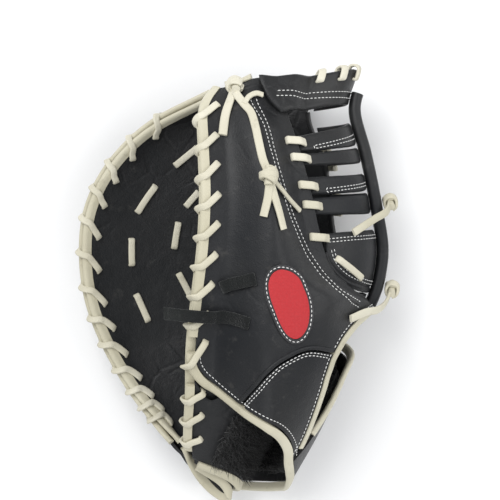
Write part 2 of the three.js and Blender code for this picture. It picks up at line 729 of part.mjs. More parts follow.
const FUR_DEPTH = (BACK_LEATHER + FUR_THICK) / 2 + 2 * GAP;
const FUR_INSET = 0.6; // of the outermost cells, left bare
const furSurface = insideBack(FUR_DEPTH, BACK_LEATHER / 2 + FUR_DEPTH);
const moved = (from, to) => from.map((value, k) => lerp(value, to[k], FUR_INSET));
const insetRow = (row) => [moved(row[0], row[1]), ...row.slice(1, -1), moved(row.at(-1), row.at(-2))];
const inset = (grid) => {
  const rows = grid.map(insetRow);
  const first = rows[0].map((place, i) => moved(place, rows[1][i]));
  const last = rows.at(-1).map((place, i) => moved(place, rows.at(-2)[i]));
  return [first, ...rows.slice(1, -1), last];
};
const strapInside = strapGrid.map((row) => row.slice(1));
add("strap_fur", sheet(furSurface, inset(strapInside), FUR_THICK), FUR);
add("flap_fur", sheet(furSurface, inset(flapGrid), FUR_THICK), FUR);
const flapRoom = roomFor(backPoint, flapGrid, BACK_LEATHER);
cut(["strap_fur"], roomFor(backPoint, strapGrid, BACK_LEATHER));
cut(["flap_fur"], flapRoom);

// Smooth liner on the hand's side of the palm.
const linerSurface = over(palmPoint, STACK);
const HEEL_INSET = 0.03;
const LINER_SHARES = [0, 0.143, 0.3, 0.443, 0.557, 0.643, 0.714, 0.786, 0.871, 1];
const linerEdges = {
  bottom: straight([0, HEEL_INSET], [1.4, HEEL_INSET]),
  right: straight([1.4, HEEL_INSET], [LINER_TOP.at(-1).q, LINER_TOP.at(-1).v]),
  top: along(LINER_TOP),
  left: straight([0, HEEL_INSET], [LINER_TOP[0].q, LINER_TOP[0].v]),
};
const linerGrid = gridInside(linerEdges, LINER_SHARES, even(4));
add("hand_liner", sheet(linerSurface, linerGrid, LINER_LEATHER), PALM);

// Bars of the web, from the thumb side round the spine to the finger side.
const BAR_CLEAR = WELT_WIDTH + 3 * GAP;
const barEnds = (v) => [
  atV(WINDOW, "thumb", v) + BAR_CLEAR / armLength(0, v),
  atV(WINDOW, "finger", v) - BAR_CLEAR / armLength(2, v),
];
for (const { name, thumbLow, thumbHigh, spineLow, spineHigh } of WEB_BARS) {
  const edge = (thumbV, spineV) => (t) => {
    const [from, to] = barEnds(thumbV);
    const q = lerp(from, to, t);
    return [q, lerp(thumbV, spineV, clamp((q - from) / (1 - from), 0, 1))];
  };
  const edges = { bottom: edge(thumbLow, spineLow), top: edge(thumbHigh, spineHigh) };
  edges.left = straight(edges.bottom(0), edges.top(0));
  edges.right = straight(edges.bottom(1), edges.top(1));
  add(name, sheet(palmPoint, gridInside(edges, even(8), even(2)), WEB_LEATHER), BLACK);
}
const fanEdges = { bottom: along(FAN_FLOOR), top: along(FAN_TOP) };
fanEdges.left = straight(fanEdges.bottom(0), fanEdges.top(0));
fanEdges.right = straight(fanEdges.bottom(1), fanEdges.top(1));
add("web_fan", sheet(palmPoint, gridInside(fanEdges, even(9), even(3)), WEB_LEATHER), BLACK);

// Top bar, whose end lies over the tip of the thumb.
const OVERLAP_LIFT = (BACK_LEATHER + WEB_LEATHER) / 2 + 2 * GAP;
const OVERLAP_RUN = { from: 4, to: 20 }; // past the web's edge, where the bar comes down
const topBarSurface = over(palmPoint, (q, v) => {
  const past = (q - atV(WINDOW, "thumb", v)) * armLength(q, v);
  const down = smoothstep(past, OVERLAP_RUN.from, OVERLAP_RUN.to);
  return lerp(backLift(q, v) + OVERLAP_LIFT, 0, down);
});
const topBarEdges = {
  bottom: along(TOP_BAR_FLOOR),
  top: straight([TOP_BAR_LEFT.at(-1).q, 1], [TOP_BAR_FLOOR.at(-1).q, 1]),
  left: along(TOP_BAR_LEFT),
  right: straight([TOP_BAR_FLOOR.at(-1).q, TOP_BAR_FLOOR.at(-1).v], [TOP_BAR_FLOOR.at(-1).q, 1]),
};
const TOP_BAR_ROWS = [0, 0.4, 0.75, 1];
add("web_top_bar", sheet(topBarSurface, gridInside(topBarEdges, even(11), TOP_BAR_ROWS), WEB_LEATHER), BLACK);

// Spine of the web, a rolled leather over the bars.
const spineSurface = over(palmPoint, (WEB_LEATHER + SPINE_THICK) / 2 + GAP);
const SPINE_OUTLINE = [
  [-0.5, -0.4],
  [-0.35, -0.5],
  [0.35, -0.5],
  [0.5, -0.4],
  [0.5, 0.1],
  [0.28, 0.5],
  [-0.28, 0.5],
  [-0.5, 0.1],
].map(([x, y]) => [x * SPINE_WIDTH, y * SPINE_THICK]);
const spineStations = spaced(SPINE.from, SPINE.to, 13).map((v) => {
  const { point, across, normal } = frameOn(spineSurface, 1, v);
  return { centre: point, wide: across, deep: normal };
});
add("web_spine", sweep(spineStations, SPINE_OUTLINE), BLACK);

// Bindings round the palm, the backs, the liner, the wrist and the open back. Each is divided as
// the leather inside it is.
const between = (from, to, steps, make) => spaced(from, to, steps).map(make);
const bound = insideBack(0, BINDING_THICK / 2);
const HEEL_CORNER = 0.04;
const rimRows = PALM_ROWS.map((v) => Math.max(v, HEEL_CORNER));
const thumbRim = (v) => [0, v];
const fingerRim = (v) => [2, v];
add("palm_thumb_binding", binding(palmPoint, rimRows.toReversed().map(thumbRim)), CREAM);
add("palm_finger_binding", binding(palmPoint, rimRows.map(fingerRim)), CREAM);
add("thumb_back_binding", binding(bound, thumbBackGrid.slice(1).reverse().map((row) => row[0])), CREAM);
add("finger_back_binding", binding(bound, rimRows.map(fingerRim)), CREAM);
add("liner_thumb_binding", binding(linerSurface, between(0.24, 0.06, 6, thumbRim)), CREAM);
add("palm_heel_binding", binding(palmPoint, palmGrid[0].slice(1, -2)), CREAM);
cut(["palm_heel_binding"], roomFor(palmPoint, palmGrid, PALM_LEATHER, (i, j) => !inWindow(i, j)));
add("liner_heel_binding", binding(linerSurface, linerGrid[0].slice(1)), CREAM);
const wristBelow = shifted(wrist, 0, -0.004);
const wristPlaces = [
  ...THUMB_SHARES.filter((share) => share <= WRIST_SHARE).map((share) =>
    wristBelow((share / WRIST_SHARE) * STRAP_WRIST.thumb),
  ),
  ...between(STRAP_WRIST.strapFrom, STRAP_WRIST.strapTo, STRAP_CELLS, wristBelow),
  ...between(STRAP_WRIST.flapFrom, 1, FLAP_CELLS, wristBelow),
];
add("wrist_binding", binding(bound, wristPlaces), CREAM);
cut(["wrist_binding"], flapRoom);
const openPlaces = [
  ...between(0, ARCH_END - ARCH_GAP, OPEN_STEPS, open).slice(1),
  ...between(ARCH_END, 1, OPEN_STEPS, open).slice(0, -1),
];
add("open_back_binding", binding(bound, openPlaces), CREAM);
const flapPlaces = between(0.96, 0.1, FLAP_CELLS, shifted(along(FLAP_TOP), 0, 0.004));
add("flap_binding", binding(bound, flapPlaces), CREAM);
add("top_edge_binding", binding(bound, between(0.2, 0.035, 3, (q) => [q, 1])), CREAM);

// Dark welt that closes the leathers beside the web.
const weltSurface = over(palmPoint, STACK / 2);
const weltThick = STACK + BACK_LEATHER;
const weltOn = (side) => between(1 / WEB_STEPS, 1 - 1 / WEB_STEPS, WEB_STEPS - 2, webEdge(side));
add("thumb_web_welt", binding(weltSurface, weltOn("thumb"), WELT_WIDTH, weltThick), BLACK);
add("finger_web_welt", binding(weltSurface, weltOn("finger").reverse(), WELT_WIDTH, weltThick), BLACK);

// Heights over the palm's middle at which a lace lies on each side.
const OUTER_LEVEL = STACK + BACK_LEATHER / 2 + LACE_CLEAR + LACE_THICK / 2;
const INNER_LEVEL = -(PALM_LEATHER / 2 + LACE_CLEAR + LACE_THICK / 2);
const BOUND_OUTER = STACK + BINDING_THICK / 2 + WRAP_CLEAR + LACE_THICK / 2;
const RIM_INNER = -(PALM_LEATHER / 2 + WRAP_CLEAR + LACE_THICK / 2);
const BOUND_INNER = -(BINDING_THICK / 2 + 1.5 * WRAP_CLEAR + LACE_THICK / 2);
const BOUND_AWAY = GAP + BINDING_WIDTH + WRAP_CLEAR + LACE_THICK / 2;

// Point over the palm at q and v, moved out by level and past the rim by away.
function place(q, v, level, away = 0) {
  const { point, lengthwise, normal } = frameOn(palmPoint, q, v);
  const past = new THREE.Vector3().crossVectors(lengthwise, normal).multiplyScalar(q < 1 ? -away : away);
  return { at: point.addScaledVector(normal, level).add(past), side: lengthwise };
}

// A lace's run through a hole: it goes in at one place and out at the other, straight between
// them. The point marked as a hole is where the hole starts.
const HOLE_RUN = LACE_CLEAR + LACE_THICK / 2 - 0.3;
const toward = (from, to) => ({
  at: from.at.clone().lerp(to.at, HOLE_RUN / from.at.distanceTo(to.at)),
  side: from.side,
});
const throughHole = (enter, leave) => [
  enter,
  { ...toward(enter, leave), hole: true },
  toward(leave, enter),
  leave,
];

// Lace wound round both bindings of a rim, through holes at the given places.
function rimLace(rimQ, holes, outerFirst) {
  const levels = outerFirst ? [RIM_INNER, OUTER_LEVEL] : [OUTER_LEVEL, RIM_INNER];
  const turns = outerFirst ? [BOUND_OUTER, BOUND_INNER] : [BOUND_INNER, BOUND_OUTER];
  return holes.flatMap((v, k) => {
    const q = Math.abs(rimQ - HOLE_INSET / armLength(rimQ, v));
    const run = throughHole(...levels.map((level) => place(q, v, level)));
    if (k === holes.length - 1) return run;
    const turn = lerp(v, holes[k + 1], WRAP_SLANT);
    return [...run, ...turns.map((level) => place(rimQ, turn, level, BOUND_AWAY))];
  });
}
const thumbLace = rimLace(0, THUMB_HOLES, true);
const fingerLace = rimLace(2, FINGER_HOLES, false);

// Cuts the holes for a lace in the named pieces.
function holesIn(names, points, wide = LACE_WIDTH, thick = LACE_THICK) {
  for (const [i, point] of points.entries()) {
    if (point.hole) cut(names, ribbon([point, points[i + 1]], wide, thick, HOLE_CLEAR));
  }
}
add("thumb_rim_lace", ribbon(thumbLace), CREAM);
add("finger_rim_lace", ribbon(fingerLace), CREAM);
holesIn(["palm", "thumb_back", "hand_liner"], thumbLace);
holesIn(["palm", "finger_back"], fingerLace);

// Lace that ties the bars of the web to the leathers beside it.
const BAR_LEVEL = WEB_LEATHER / 2 + LACE_CLEAR + LACE_THICK / 2 + 0.4;
const UNDER_BAR = -(WEB_LEATHER / 2 + LACE_CLEAR + LACE_THICK / 2);
const WEB_OUTER = OUTER_LEVEL + 1;
function webLace(side) {
  const rim = side === "thumb" ? 0 : 2;
  const sign = side === "thumb" ? 1 : -1;
  return WEB_HOLES.flatMap((v) => {
    const edge = atV(WINDOW, side, v);
    const at = (past, level) => place(edge + (sign * past) / armLength(rim, v), v, level);
    return [
      ...throughHole(at(-WEB_INSET, UNDER_BAR), at(-WEB_INSET, WEB_OUTER)),
      at(WELT_WIDTH + 1, WEB_OUTER),
      ...throughHole(at(BAR_CLEAR + WEB_INSET, BAR_LEVEL), at(BAR_CLEAR + WEB_INSET, UNDER_BAR)),
    ];
  });
}
for (const side of ["thumb", "finger"]) {
  const points = webLace(side);
  add(`${side}_web_lace`, ribbon(points), CREAM);
  holesIn(["palm", `${side}_back`, "web_fan", ...WEB_BARS.map(({ name }) => name)], points);
}

// Loops over the top edge of the web.
const LOOP_DEPTH = 0.025;
const LOOP_CLEAR = 1.2; // more than under the other laces
for (const [k, q] of TOP_LOOPS.entries()) {
  const low = frameOn(topBarSurface, q, 1 - LOOP_DEPTH);
  const rim = frameOn(topBarSurface, q, 1);
  const past = LACE_CLEAR + LOOP_CLEAR + LACE_THICK / 2;
  const at = ({ point, normal, lengthwise }, level, away) => ({
    at: point.clone().addScaledVector(normal, level).addScaledVector(lengthwise, away),
    side: low.across,
  });
  const over = BAR_LEVEL + LOOP_CLEAR;
  const under = UNDER_BAR - LOOP_CLEAR;
  const points = [
    ...throughHole(at(low, under - 2 * LACE_THICK, 0), at(low, over, 0)),
    at(rim, over, past),
    at(rim, under, past),
    at(low, under, LACE_WIDTH / 2),
  ];
  add(`top_loop_${k + 1}`, ribbon(points), CREAM);
  holesIn(["web_top_bar"], points);
}

// A short lace shown on the given side of the leather, with both ends through it.
function staple({ q0, v0, q1, v1 }, level, end, steps = 3) {
  const shown = spaced(0, 1, steps).map((t) => place(lerp(q0, q1, t), lerp(v0, v1, t), level));
  const first = place(q0, v0, end);
  const last = place(q1, v1, end);
  const run = last.at.clone().sub(first.at);
  const normal = frameOn(palmPoint, (q0 + q1) / 2, (v0 + v1) / 2).normal;
  const side = new THREE.Vector3().crossVectors(normal, run).normalize();
  const points = [first, ...shown, last].map(({ at }) => ({ at, side }));
  return endsThrough(points);
}

// The same points, with the first and the last run each straight through a hole.
function endsThrough(points) {
  const [first, start] = points;
  const [end, last] = points.slice(-2);
  const middle = points.slice(1, -1);
  const into = { ...toward(end, last), hole: true };
  return [{ ...first, hole: true }, toward(start, first), ...middle, into, last];
}
for (const [k, ends] of POCKET_LACES.entries()) {
  const points = staple(ends, INNER_LEVEL, PALM_LEATHER / 2 + LACE_END);
  add(`pocket_lace_${k + 1}`, ribbon(points), CREAM);
  holesIn(["palm"], points);
}
const stub = staple(FAN_STUB, BAR_LEVEL, -WEB_LEATHER / 2 - LACE_END);
add("fan_lace", ribbon(stub), CREAM);
holesIn(["web_fan"], stub);

// Loose laces lying on a surface, and the knots in them.
function drape(surface, rows, clear, thick = LACE_THICK) {
  const frames = rows.map(({ q, v, rise }) => {
    const { point, normal } = frameOn(surface, q, v);
    return { at: point.addScaledVector(normal, clear + DRAPE_CLEAR + thick / 2 + rise), normal };
  });
  return frames.map(({ at, normal }, i) => {
    const back = frames[Math.max(i - 1, 0)].at;
    const next = frames[Math.min(i + 1, frames.length - 1)].at;
    return { at, side: new THREE.Vector3().crossVectors(normal, next.clone().sub(back)).normalize() };
  });
}
function knot(surface, { q, v, rise }, toward, clear) {
  const { point, normal } = frameOn(surface, q, v);
  const centre = point.addScaledVector(normal, clear + DRAPE_CLEAR + LACE_THICK / 2 + rise);
  const axis = surface(toward.q, toward.v).sub(centre);
  axis.addScaledVector(normal, -axis.dot(normal)).normalize();
  const side = new THREE.Vector3().crossVectors(normal, axis);
  const tilted = axis.clone().addScaledVector(side, KNOT_LEAN).normalize();
  const flat = new THREE.Vector3().crossVectors(normal, tilted);
  const turn = spaced(0, KNOT_TURN, KNOT_STEPS).map((angle) => ({
    at: centre
      .clone()
      .addScaledVector(flat, KNOT_RADIUS * KNOT_STRETCH * Math.cos(angle))
      .addScaledVector(normal, KNOT_RADIUS * Math.sin(angle)),
    side: tilted,
  }));
  const core = [-KNOT_REACH, KNOT_REACH].map((step) => ({
    at: centre.clone().addScaledVector(axis, step * KNOT_RADIUS),
    side,
  }));
  return ribbon(turn, 1.3 * LACE_WIDTH).add(ribbon(core, 1.2 * LACE_WIDTH, 3 * LACE_THICK));
}
const onBack = BACK_LEATHER / 2;
const onWeb = WEB_LEATHER / 2;
const tie = [
  ribbon(drape(backPoint, THUMB_TIE, onBack)),
  ribbon(drape(backPoint, THUMB_TIE_END, onBack)),
  ribbon(drape(backPoint, THUMB_TIE_LOOP, onBack), LACE_WIDTH * 0.6),
  ribbon(drape(backPoint, THUMB_TIE_CURL, onBack), LACE_WIDTH * 0.7),
  ribbon(drape(backPoint, THUMB_TIE_TAIL, onBack), LACE_WIDTH * 1.15),
  knot(backPoint, THUMB_KNOT, THUMB_TIE[2], onBack),
  knot(backPoint, PAST_KNOT, THUMB_TIE.at(-1), onBack),
].reduce((all, one) => all.add(one));
add("thumb_tie", tie, CREAM);
const upperTie = ribbon(drape(palmPoint, UPPER_TIE_TAIL, onWeb)).add(
  knot(palmPoint, UPPER_KNOT, UPPER_TIE_TAIL[1], onWeb),
);
add("upper_tie", upperTie, CREAM);
const lowerTie = ribbon(drape(backPoint, LOWER_TIE_TAIL, onBack)).add(
  knot(backPoint, LOWER_KNOT, LOWER_TIE_TAIL[2], onBack),
);
add("lower_tie", lowerTie, CREAM);

// Suede strips on the thumb back: a long one that hangs over the rim and a short loop.
const longSuede = drape(backPoint, LONG_SUEDE, onBack, SUEDE_THICK);
const overRim = longSuede.at(-1);
const out = frameOn(backPoint, 0, LONG_SUEDE.at(-1).v).across.negate();
for (const share of [0.4, 0.75, 1]) {
  const at = overRim.at.clone().addScaledVector(out, SUEDE_TIP.reach * share);
  at.addScaledVector(UP, -SUEDE_TIP.drop * share * share);
  longSuede.push({ at, side: overRim.side });
}
const dip = ({ q, v }, side) => {
  const { point, normal } = frameOn(backPoint, q, v);
  return { at: point.addScaledVector(normal, -onBack - LACE_END), side };
};
const longEnd = dip(LONG_SUEDE[0], longSuede[0].side);
const longPoints = [{ ...longEnd, hole: true }, toward(longSuede[0], longEnd), ...longSuede];
add("long_suede_strip", ribbon(longPoints, SUEDE_WIDTH, SUEDE_THICK), SUEDE);
holesIn(["thumb_back"], longPoints, SUEDE_WIDTH, SUEDE_THICK);
const shortRun = even(3).map((t) => ({
  q: lerp(SHORT_SUEDE.q0, SHORT_SUEDE.q1, t),
  v: lerp(SHORT_SUEDE.v0, SHORT_SUEDE.v1, t),
  rise: 1,
}));
const shown = drape(backPoint, shortRun, onBack, SUEDE_THICK);
const shortSuede = endsThrough([
  dip(shortRun[0], shown[0].side),
  ...shown,
  dip(shortRun.at(-1), shown.at(-1).side),
]);
add("short_suede_strip", ribbon(shortSuede, SUEDE_WIDTH, SUEDE_THICK), SUEDE);
holesIn(["thumb_back"], shortSuede, SUEDE_WIDTH, SUEDE_THICK);

// Oval patch, sewn on the thumb back.
const patchGrid = spaced(-1, 1, 10).map((b) =>
  spaced(-1, 1, 6).map((a) => {
    const x = a * Math.sqrt(1 - (b * b) / 2);
    const y = b * Math.sqrt(1 - (a * a) / 2);
    return [PATCH.q + PATCH.acrossQ * x + PATCH.alongQ * y, PATCH.v + PATCH.acrossV * x + PATCH.alongV * y];
  }),
);
const patchSurface = over(backPoint, (BACK_LEATHER + PATCH_THICK) / 2 + GAP);
add("oval_patch", sheet(patchSurface, patchGrid, PATCH_THICK), RED);

// The mitt, with the origin on the table under its middle.
const mitt = new THREE.Group();
for (const [name, { solid, finish }] of pieces) {
  const mesh = new THREE.Mesh(geometryFrom(solid), finish);
  mesh.name = name;
  mitt.add(mesh);
}
const bounds = new THREE.Box3().setFromObject(mitt);
const middle = bounds.getCenter(new THREE.Vector3());
mitt.position.set(-middle.x, -middle.y, -bounds.min.z);

export default mitt;
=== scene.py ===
"""Looks of a first baseman's mitt that lies on the back of its finger side."""
from __future__ import annotations

import logging
import math
from dataclasses import dataclass
from enum import Enum
from typing import Callable, Sequence

import bmesh
import bpy
import numpy as np
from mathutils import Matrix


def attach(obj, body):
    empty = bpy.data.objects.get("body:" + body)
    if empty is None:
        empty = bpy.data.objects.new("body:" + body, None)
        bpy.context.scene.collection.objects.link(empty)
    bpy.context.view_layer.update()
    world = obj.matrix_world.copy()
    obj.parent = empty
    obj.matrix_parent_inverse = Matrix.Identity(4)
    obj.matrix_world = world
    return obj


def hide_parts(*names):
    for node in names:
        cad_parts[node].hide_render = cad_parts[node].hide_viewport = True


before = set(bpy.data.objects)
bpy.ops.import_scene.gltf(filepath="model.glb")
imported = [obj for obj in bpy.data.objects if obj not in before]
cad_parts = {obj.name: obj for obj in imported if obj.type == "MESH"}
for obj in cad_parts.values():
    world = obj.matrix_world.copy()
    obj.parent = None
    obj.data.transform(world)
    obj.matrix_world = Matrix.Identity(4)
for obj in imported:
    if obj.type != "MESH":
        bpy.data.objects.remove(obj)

LOG = logging.getLogger("mitt")
MM = 0.001

# The model's own millimetres to the frame: the origin is under the middle of the mitt.
OFFSET = np.array([-113.367, -158.233, 0.0])

# The photograph's camera, in the model's millimetres, and half its picture at one metre.
CAMERA_PLACE = (126.0, 185.0, 1060.0)
HALF_PICTURE, METRE = 187.5, 1000.0
CLIP_START = 0.01
# Place, size in metres and power in watts of each soft light, and what all of them aim at.
LIGHTS = (
    ((-0.55, 0.75, 1.35), 1.1, 21.0),
    ((0.95, 0.1, 0.9), 0.9, 7.0),
    ((0.0, -0.9, 0.8), 0.9, 4.0),
)
LIGHT_AIM = (0.0, 0.0, 0.06)
ROOM_COLOR, ROOM_STRENGTH = (0.95, 0.97, 1.0, 1.0), 0.5
TABLE_HALF, TABLE_DROP = 2.0, 0.0005

# Main sizes and thicknesses in millimetres, as in the CAD model. Only the wraps and the rolls of
# the bindings are narrower here.
REACH, LENGTH, HEIGHT = 222.0, 330.0, 128.0
PALM_LEATHER, BACK_LEATHER, LINER_LEATHER, WEB_LEATHER = 3.0, 2.4, 2.0, 4.4
FUR_THICK, PATCH_THICK = 5.0, 1.4
BINDING_WIDTH, BINDING_THICK, BINDING_GAP = 7.0, 5.0, 0.45
BINDING_LAP = 0.55
WRAP_WIDTH = 5.1
WELT_WIDTH = 2.4
SPINE_WIDTH, SPINE_THICK = 14.0, 9.0
LACE_WIDTH, LACE_THICK = 5.8, 2.2
SUEDE_WIDTH, SUEDE_THICK = 9.0, 2.0
GAP = 0.35
STACK = BINDING_THICK + GAP
RIM_FLAT, WEB_FLAT, STALL_RISE = 11.0, 5.5, 34.0
THUMB_ROOM, FINGER_ROOM, HEEL_ROOM = 20.0, 22.0, 25.0
HAND_END, STALL_START = 0.38, 0.56
HOLE_INSET, WEB_INSET = 6.0, 5.5
SLOPE_STEP = 0.004
ARC_SAMPLES = 40
SHARP_ANGLE = 50.0
# Of a rolled binding: where its round part starts, and half its thickness at the edge, as shares.
ROLL_NECK, ROLL_HALF = 0.45, 0.46
BINDING_ROLL = (BINDING_WIDTH - 0.8, BINDING_THICK - 0.5)
WELT_CLEAR = WELT_WIDTH + 3 * GAP
# Thickness of a wall's two outermost rows, as shares of its own.
EDGE_THICKNESS = (0.35, 0.8)
# Second share from the end of soft steps, and room kept clear of even ones, in first shares.
SOFT_SECOND, SOFT_ROOM = 2.5, 3
# Gaps under laces through holes and under loose ones, and heights of laces over the palm.
LACE_CLEAR, LOOSE_CLEAR = 0.25, 0.5
OUTER = STACK + BACK_LEATHER / 2 + LACE_CLEAR + LACE_THICK / 2
INNER = -(PALM_LEATHER / 2 + LACE_CLEAR + LACE_THICK / 2)
BAR_LEVEL = WEB_LEATHER / 2 + LACE_CLEAR + LACE_THICK / 2
# A knot: its size, then lean, shift, size and half-turns of each turn.
KNOT_RADIUS, KNOT_WIDE, KNOT_TALL, KNOT_START = 4.6, 1.15, 0.95, 0.2
KNOT_LACE, CORE_REACH, CORE_THICK = 0.9, 1.5, 2.4
KNOT_TURNS = ((0.5, -1.9, 1.0, 1.9), (-0.45, 1.9, 1.02, 1.8), (0.1, 0, 1.1, 1.2))

# Cross-sections from the heel to the top: thumb rim, deepest line and finger rim as shares.
THUMB_RIM = np.array([
    (0.382, 0.079, 0.469), (0.379, 0.164, 0.625), (0.386, 0.259, 0.766), (0.391, 0.356, 0.867),
    (0.409, 0.462, 0.938), (0.428, 0.571, 0.969), (0.435, 0.676, 0.961), (0.43, 0.775, 0.906),
    (0.43, 0.854, 0.82), (0.473, 0.902, 0.719),
])
DEEPEST = np.array([
    (0.5, 0.009, 0.344), (0.55, 0.1, 0.367), (0.645, 0.207, 0.398), (0.77, 0.318, 0.422),
    (0.93, 0.428, 0.445), (0.983, 0.542, 0.453), (0.963, 0.656, 0.461), (0.929, 0.77, 0.461),
    (0.89, 0.88, 0.453), (0.926, 0.97, 0.445),
])
FINGER_RIM = np.array([
    (0.331, 0.113, 0.344), (0.258, 0.178, 0.32), (0.171, 0.255, 0.312), (0.093, 0.348, 0.328),
    (0.04, 0.445, 0.359), (0.021, 0.549, 0.375), (0.039, 0.652, 0.391), (0.113, 0.749, 0.383),
    (0.245, 0.835, 0.375), (0.445, 0.905, 0.391),
])
# thumb tilt, finger tilt, room for the hand, room at the deepest line, bow of the finger side
SHAPES = np.array([
    (5, 25, 0.24, 0.25, 0.045), (8, 28, 0.26, 0.28, 0.02), (10, 30, 0.27, 0.27, 0),
    (12, 32, 0.25, 0.2, 0), (13, 34, 0.2, 0.06, 0), (14, 35, 0.14, 0.05, 0),
    (14, 35, 0.1, 0.05, 0), (12, 34, 0.1, 0.05, 0), (8, 32, 0.1, 0.05, 0), (4, 28, 0.1, 0.05, 0),
])
THUMB_HANDLES = (0.35, 0.3)
FINGER_HANDLES = (0.2, 0.32)

# Edges of the web's window: v, then q beside the thumb and beside the fingers.
WINDOW_FLOOR = 0.478
WINDOW = np.array([
    (0, 0.62, 1.3), (0.4, 0.74, 1.2), (0.478, 0.82, 1.1), (0.49, 0.735, 1.13),
    (0.51, 0.64, 1.155), (0.54, 0.578, 1.173), (0.574, 0.545, 1.18), (0.62, 0.525, 1.18),
    (0.69, 0.508, 1.18), (0.76, 0.489, 1.18), (0.83, 0.468, 1.21), (0.9, 0.443, 1.25),
    (1, 0.42, 1.25),
])
FINGER_OPEN = np.array([
    (0, 1.45), (0.35, 1.435), (0.4, 1.38), (0.44, 1.2), (0.465, 1.09), (0.478, 1.1),
])
# Columns of the palm at the thumb, in the window and at the fingers, and rows added to it.
PALM_COLUMNS, MORE_PALM_ROWS = (34, 10, 52), (0.484, 0.5, 0.525)

# Edges as q and v at even steps.
WRIST = np.array([
    (0, 0.327), (0.02, 0.29), (0.12, 0.26), (0.33, 0.244), (0.5, 0.239), (0.627, 0.227),
    (0.74, 0.203), (0.82, 0.172), (0.9, 0.145), (0.99, 0.112), (1.04, 0.065), (1.15, 0.022),
    (1.42, 0.012),
])
ARCH = np.array([
    (0.33, 0.244), (0.352, 0.285), (0.391, 0.344), (0.471, 0.38), (0.557, 0.398), (0.69, 0.398),
])
OPEN = np.array([
    (0.806, 0.178), (0.795, 0.215), (0.776, 0.256), (0.755, 0.3), (0.735, 0.335),
    (0.712, 0.365), (0.694, 0.388), (0.703, 0.408), (0.73, 0.426), (0.8, 0.447), (0.93, 0.466),
])
FLAP_TOP = np.array([
    (0.85, 0.185), (0.885, 0.235), (0.93, 0.29), (0.955, 0.335), (0.99, 0.366), (1.06, 0.38),
    (1.16, 0.378), (1.27, 0.366), (1.38, 0.345),
])
LINER_TOP = np.array([
    (0, 0.25), (0.15, 0.21), (0.3, 0.25), (0.45, 0.32), (0.7, 0.34), (1, 0.34), (1.2, 0.34),
    (1.4, 0.33),
])
FAN_FLOOR = np.array([
    (0.59, 0.565), (0.62, 0.538), (0.68, 0.515), (0.76, 0.5), (0.87, 0.491), (1, 0.489),
    (1.07, 0.493), (1.11, 0.505), (1.135, 0.53),
])
FAN_TOP = np.array([(0.585, 0.6), (0.79, 0.612), (1, 0.618), (1.135, 0.605)])
TOP_BAR_LEFT = np.array([(0.424, 0.869), (0.36, 0.903), (0.313, 0.936), (0.27, 0.97), (0.245, 1)])
TOP_BAR_FLOOR = np.array([(0.424, 0.869), (0.6, 0.884), (0.8, 0.895), (1, 0.9), (1.21, 0.9)])
ARCH_END, ARCH_GAP = 0.65, 0.02
WRIST_THUMB, STRAP_FROM, STRAP_TO, FLAP_FROM = 0.25, 0.262, 0.565, 0.6
HEEL_INSET = 0.03

# Bars: name, then v of the lower and upper edge at the thumb and at the spine.
WEB_BARS = (
    ("web_bar_upper", 0.78, 0.816, 0.806, 0.856),
    ("web_roll_upper", 0.748, 0.774, 0.766, 0.8),
    ("web_bar_lower", 0.683, 0.722, 0.706, 0.742),
    ("web_roll_lower", 0.64, 0.677, 0.655, 0.7),
)
SPINE_FROM, SPINE_TO, SPINE_ROUND = 0.462, 0.94, 0.7
THUMB_HOLES = (
    0.905, 0.809, 0.737, 0.668, 0.604, 0.538, 0.476, 0.412, 0.35, 0.225, 0.17, 0.105, 0.05,
)
FINGER_HOLES = (
    0.092, 0.135, 0.18, 0.235, 0.3, 0.37, 0.435, 0.517, 0.599, 0.677, 0.741, 0.804, 0.869, 0.929,
)
WEB_HOLES = (0.8, 0.761, 0.7, 0.658, 0.59)
# A wrap round a rim: where it turns, its first and last places on the leather, how deep it lies
# there, its shares and angles round the binding, and where its round part starts.
WRAP_SLANT, WRAP_RISE, WRAP_FALL, WRAP_SINK = 0.6, 0.45, 0.6, 0.5
WRAP_SHARES, WRAP_ANGLES, WRAP_NEAR = (0.72, 1.1), (75, -75), 1.5
TOP_LOOPS = (0.64, 0.79, 0.92)
# q and v of both ends
POCKET_LACES = (
    (1.81, 0.729, 1.847, 0.663), (1.858, 0.596, 1.857, 0.532), (1.848, 0.459, 1.812, 0.393),
    (1.715, 0.828, 1.768, 0.783), (1.645, 0.712, 1.679, 0.678), (1.7, 0.636, 1.713, 0.575),
    (1.696, 0.512, 1.656, 0.461),
)
FAN_STUB = (0.652, 0.549, 0.82, 0.511)

# Loose laces: q, v and height over the leather in millimetres.
THUMB_KNOT = (0.15, 0.955, 4)
PAST_KNOT = (0.267, 0.7, 4)
UPPER_KNOT = (0.999, 0.672, 14)
LOWER_KNOT = (0.995, 0.5, 8.5)
THUMB_TIE = (
    THUMB_KNOT, (0.168, 0.925, 2), (0.215, 0.885, 0), (0.244, 0.855, 0), (0.25, 0.815, 0),
    (0.252, 0.777, 0), (0.257, 0.737, 1), PAST_KNOT, (0.264, 0.665, 1), (0.245, 0.622, 0),
)
THUMB_TIE_END = (PAST_KNOT, (0.28, 0.67, 1), (0.3, 0.633, 0), (0.319, 0.598, 0))
THUMB_TIE_LOOP = (PAST_KNOT, (0.31, 0.682, 0.5), (0.37, 0.662, 0), (0.435, 0.642, 0))
THUMB_TIE_CURL = ((0.215, 0.885, 0.5), (0.235, 0.908, 0.5), (0.265, 0.921, 0.5), (0.3, 0.92, 0.5))
THUMB_TIE_TAIL = (THUMB_KNOT, (0.14, 0.925, 1), (0.112, 0.868, 0), (0.08, 0.808, 0))
UPPER_TIE_TAIL = (
    UPPER_KNOT, (0.93, 0.65, 11), (0.875, 0.637, 5), (0.81, 0.622, 1.5), (0.74, 0.606, 0.6),
)
